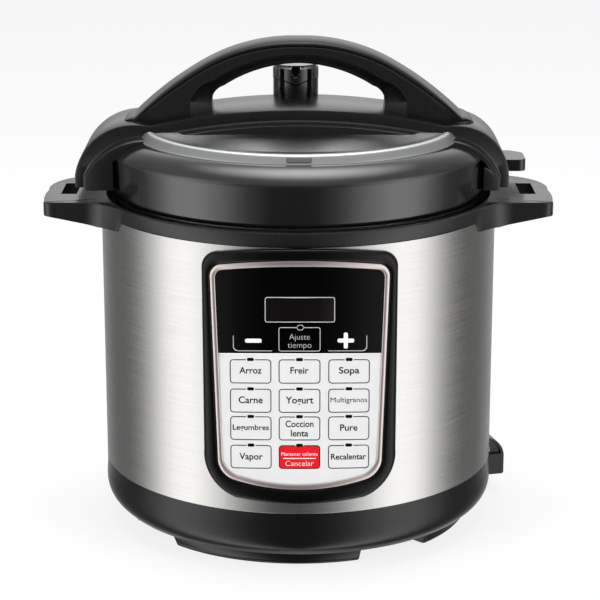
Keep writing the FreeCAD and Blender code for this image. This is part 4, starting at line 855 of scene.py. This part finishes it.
# its section from the back over the top, down two steps at the front to a lower band, and back underneath
front, back = -30.0, 34.0
section = np.stack([
    lined(saddle_line(0.9), back), lined(saddle_line(0.25), back - 0.4), lined(saddle_line(0), back - 1.2),
    lined(saddle_line(0), front + 1.4), lined(saddle_line(0.3), front + 0.4), lined(saddle_line(1.2), front),
    lined(saddle_line(5.6), front - 0.15), lined(saddle_line(6.4), front - 0.9),
    lined(saddle_line(7.0), front - 8.6), lined(saddle_line(7.4), front - 9.6),
    lined(saddle_line(8.4), front - 10), lined(under_side, front - 10), lined(under_side, back + 5),
    lined(saddle_line(8.4), back + 5), lined(saddle_line(6.8), back + 4.5),
    lined(saddle_line(6.4), back + 0.4), lined(saddle_line(5.6), back),
], axis=1)
# silk ABS: it blurs the knob and the handle over it to a soft grey sheen
saddle_black = grained("silk black ABS", "#0c0c0d", 0.3, grain=0.9, depth=0.02, spread=0.03, IOR=1.6)
saddle = skin(section, around=True, capped=True)
saddle = settled("saddle", saddle, "lid", "gloss_black", sharp=36, finish=saddle_black)
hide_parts("lid_bridge")
pierced(saddle, *valve_hole, round_hole=True)

ring = np.radians(np.arange(0, 360, 10))
float_bore = np.stack([6.5 * np.cos(ring), 64 + 6.5 * np.sin(ring)], -1)
tongue = cut_out(rounded([(-26, 30), (24, 30), (24, 76), (-26, 76)], 4.0), float_bore)
tab_corners = [(118, 12), (151, 12), (154, 15), (154, 37), (146, 45), (118, 45)]
tab = cut_out(rounded(tab_corners, [0.5, 2, 2, 3, 3, 0.5]))


def raised(name, flat, low, high, body, slot, bevel, finish):
    """A flat outline (X, Y in plan) pulled up from low to high, its edges rounded."""
    work = bmesh.new()
    work.from_mesh(flat)
    bmesh.ops.dissolve_limit(work, angle_limit=0.01, verts=work.verts, edges=work.edges)
    made = bmesh.ops.extrude_face_region(work, geom=work.faces[:])
    top = [v for v in made["geom"] if isinstance(v, bmesh.types.BMVert)]
    bmesh.ops.translate(work, verts=work.verts, vec=(0, 0, low))
    bmesh.ops.translate(work, verts=top, vec=(0, 0, high - low))
    mesh = bpy.data.meshes.new(name)
    work.to_mesh(mesh)
    work.free()
    mesh.transform(Matrix.Scale(0.001, 4))
    return settled(name, mesh, body, slot, bevel=bevel, finish=finish)


tongue = raised("saddle_tongue", tongue, 266.0, 273.4, "lid", "gloss_black", 0.8, saddle_black)
pierced(tongue, *valve_hole, round_hole=True)
raised("saddle_tab", tab, 234.0, 242.0, "lid", "gloss_black", 0.9, saddle_black)


# ---- Lid handle: a black arch on two posts, open under the hand, with a thinner strip welded on as its
# cover. The strip's seam runs along both faces; the arch flares and rounds off at its tips, where it meets
# the saddle.
grip_top, tip = 327.2, (117.3, 268.9)
grip_half, tip_half, tip_start, tip_reach = 17, 22, 104, 13.3


def handle_width(x):
    """Half width of the arch at x: narrow in the middle, wider by the fourth power of x, then a half
    ellipse."""
    x = np.abs(x)
    flare = grip_half + (tip_half - grip_half) * (np.minimum(x, tip_start) / tip_start) ** 4
    round_off = np.sqrt(np.clip(1 - ((x - tip_start) / tip_reach) ** 2, 0, 1))
    return np.where(x < tip_start, flare, tip_half * round_off)


top_line = front_route((0, grip_top), [
    ("arc", (33.0, grip_top - 3.6), (59.0, grip_top - 13.5), 14),
    ("arc", (86.0, grip_top - 30.8), (108.0, grip_top - 50.0), 16), ("arc", (115.5, 272.9), tip, 8),
])
seam_line = front_route((0, grip_top - 4.2), [
    ("arc", (33.0, grip_top - 7.8), (59.0, grip_top - 17.7), 14),
    ("arc", (86.0, grip_top - 35.0), (108.0, grip_top - 52.3), 16), ("arc", (115.5, 271.9), tip, 8),
])
front_arch = front_route((0, 317.7), [
    ("arc", (30, 313.2), (56, 300.6), 14), ("arc", (66.5, 294.6), (71, 288), 8), ("line", (71.4, 275.5), 8),
    ("line", tip, 8),
])
middle_arch = front_route((0, 311), [
    ("arc", (27, 306.6), (49, 296.2), 14), ("arc", (56, 290.5), (57.2, 284), 8), ("line", (56.5, 275.5), 8),
    ("line", tip, 8),
])


def both_ways(line):
    """A right-half line with its mirror image before it."""
    return np.concatenate([line[:0:-1] * (-1, 1), line])


def at_width(line, inset, side):
    """A front-view line on the handle's side face, inset (mm) towards its middle."""
    depth = side * np.maximum(handle_width(line[:, 0]) - inset, 0)
    return np.stack([line[:, 0], depth, line[:, 1]], -1)


seam_line, top_line, front_arch, middle_arch = (
    both_ways(line) for line in (seam_line, top_line, front_arch, middle_arch))
# the arch's section: from just under the seam down its face, in under the arch to its lower middle line,
# and back up
drop = seam_line - [0, 0.35]
columns = []
for side in (-1, 1):
    face = [at_width(drop, 1.2, side), at_width(drop - [0, 0.1], 0.35, side),
            at_width(drop - [0, 0.5], 0, side)]
    face += [at_width(drop * (1 - s) + front_arch * s, 0, side) for s in (0.25, 0.5, 0.75, 0.94)]
    face += [at_width(front_arch, 0.12, side), at_width(front_arch + [0, -0.35], 0.7, side)]
    inner_face = lined(middle_arch, 0)
    inner_face[:, 1] = side * np.minimum(9.0, handle_width(middle_arch[:, 0]))
    outer_face = at_width(front_arch + [0, -0.35], 0.7, side)
    face += [outer_face * 0.5 + inner_face * 0.5 + [0, 0, 0.3], inner_face]
    columns += face if side < 0 else face[::-1]
arch = skin(np.stack(columns, axis=1), around=True, capped=True)
arch = settled("handle_arch", arch, "lid", "black_plastic", sharp=50)
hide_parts("handle_body")

# the strip's section is a low crown over the seam: a half ellipse with fuller shoulders
rise = top_line - seam_line
across = np.linspace(0, np.pi, 25)
strip = [lined(seam_line, 0) + np.outer(handle_width(seam_line[:, 0]) - 0.25, [0, -np.cos(a), 0])
         + lined(rise, 0) * (0.06 + 0.94 * np.sin(a) ** 0.75) for a in across]
# fine-textured ABS: it stays dark where the arch beside it shines
dull = grained("handle strip ABS", "#0d0d0e", 0.3, grain=1.0, depth=0.02, Specular_IOR_Level=0.22)
cover = skin(np.stack(strip, axis=1), around=True, capped=True)
cover = settled("handle_strip", cover, "lid", "gloss_black", sharp=60, finish=dull)
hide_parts("handle_cover")


# ---- Knob: a cap moulded in black ABS with finger flutes, pushed onto the valve weight's stem.
# It turns on the round collar under it, which stays with the lid, to let the steam out.
eased("release_knob", "gloss_black")


# ---- Springs: coils wound of oiled spring steel wire, one under the sensor's cap and one behind the lock's
# slider. Each stands on its fixed end.
def coil(name, centre, axis, length, radius, wire, turns, body):
    """Round wire carried along a helix, from its fixed end along X (axis -1 or 1) or up (axis 0)."""
    angle = np.linspace(0, 2 * np.pi * turns, turns * 24 + 1)[:, None]
    tube = np.linspace(0, 2 * np.pi, 9)[None, :-1]
    outward = radius + wire * np.cos(tube)
    along = wire + (length - 2 * wire) * angle / angle[-1] + wire * np.sin(tube)
    grid = np.stack([outward * np.cos(angle), outward * np.sin(angle), along], -1)
    grid = grid[..., [2, 0, 1]] * (axis, 1, 1) if axis else grid
    piece = settled(name, skin(grid + centre, around=True, capped=True), body, "spring_steel", sharp=60)
    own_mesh(piece)
    return piece


sensor_coil = coil("sensor_coil", (0, 0, 45.8), 0, 14.8, 9.0, 0.6, 4, "base")
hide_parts("sensor_spring")
lock_coil = coil("lock_coil", (38.0, 64.0, 255.45), -1, 14.0, 1.6, 0.35, 7, "lid")
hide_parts("lock_spring")
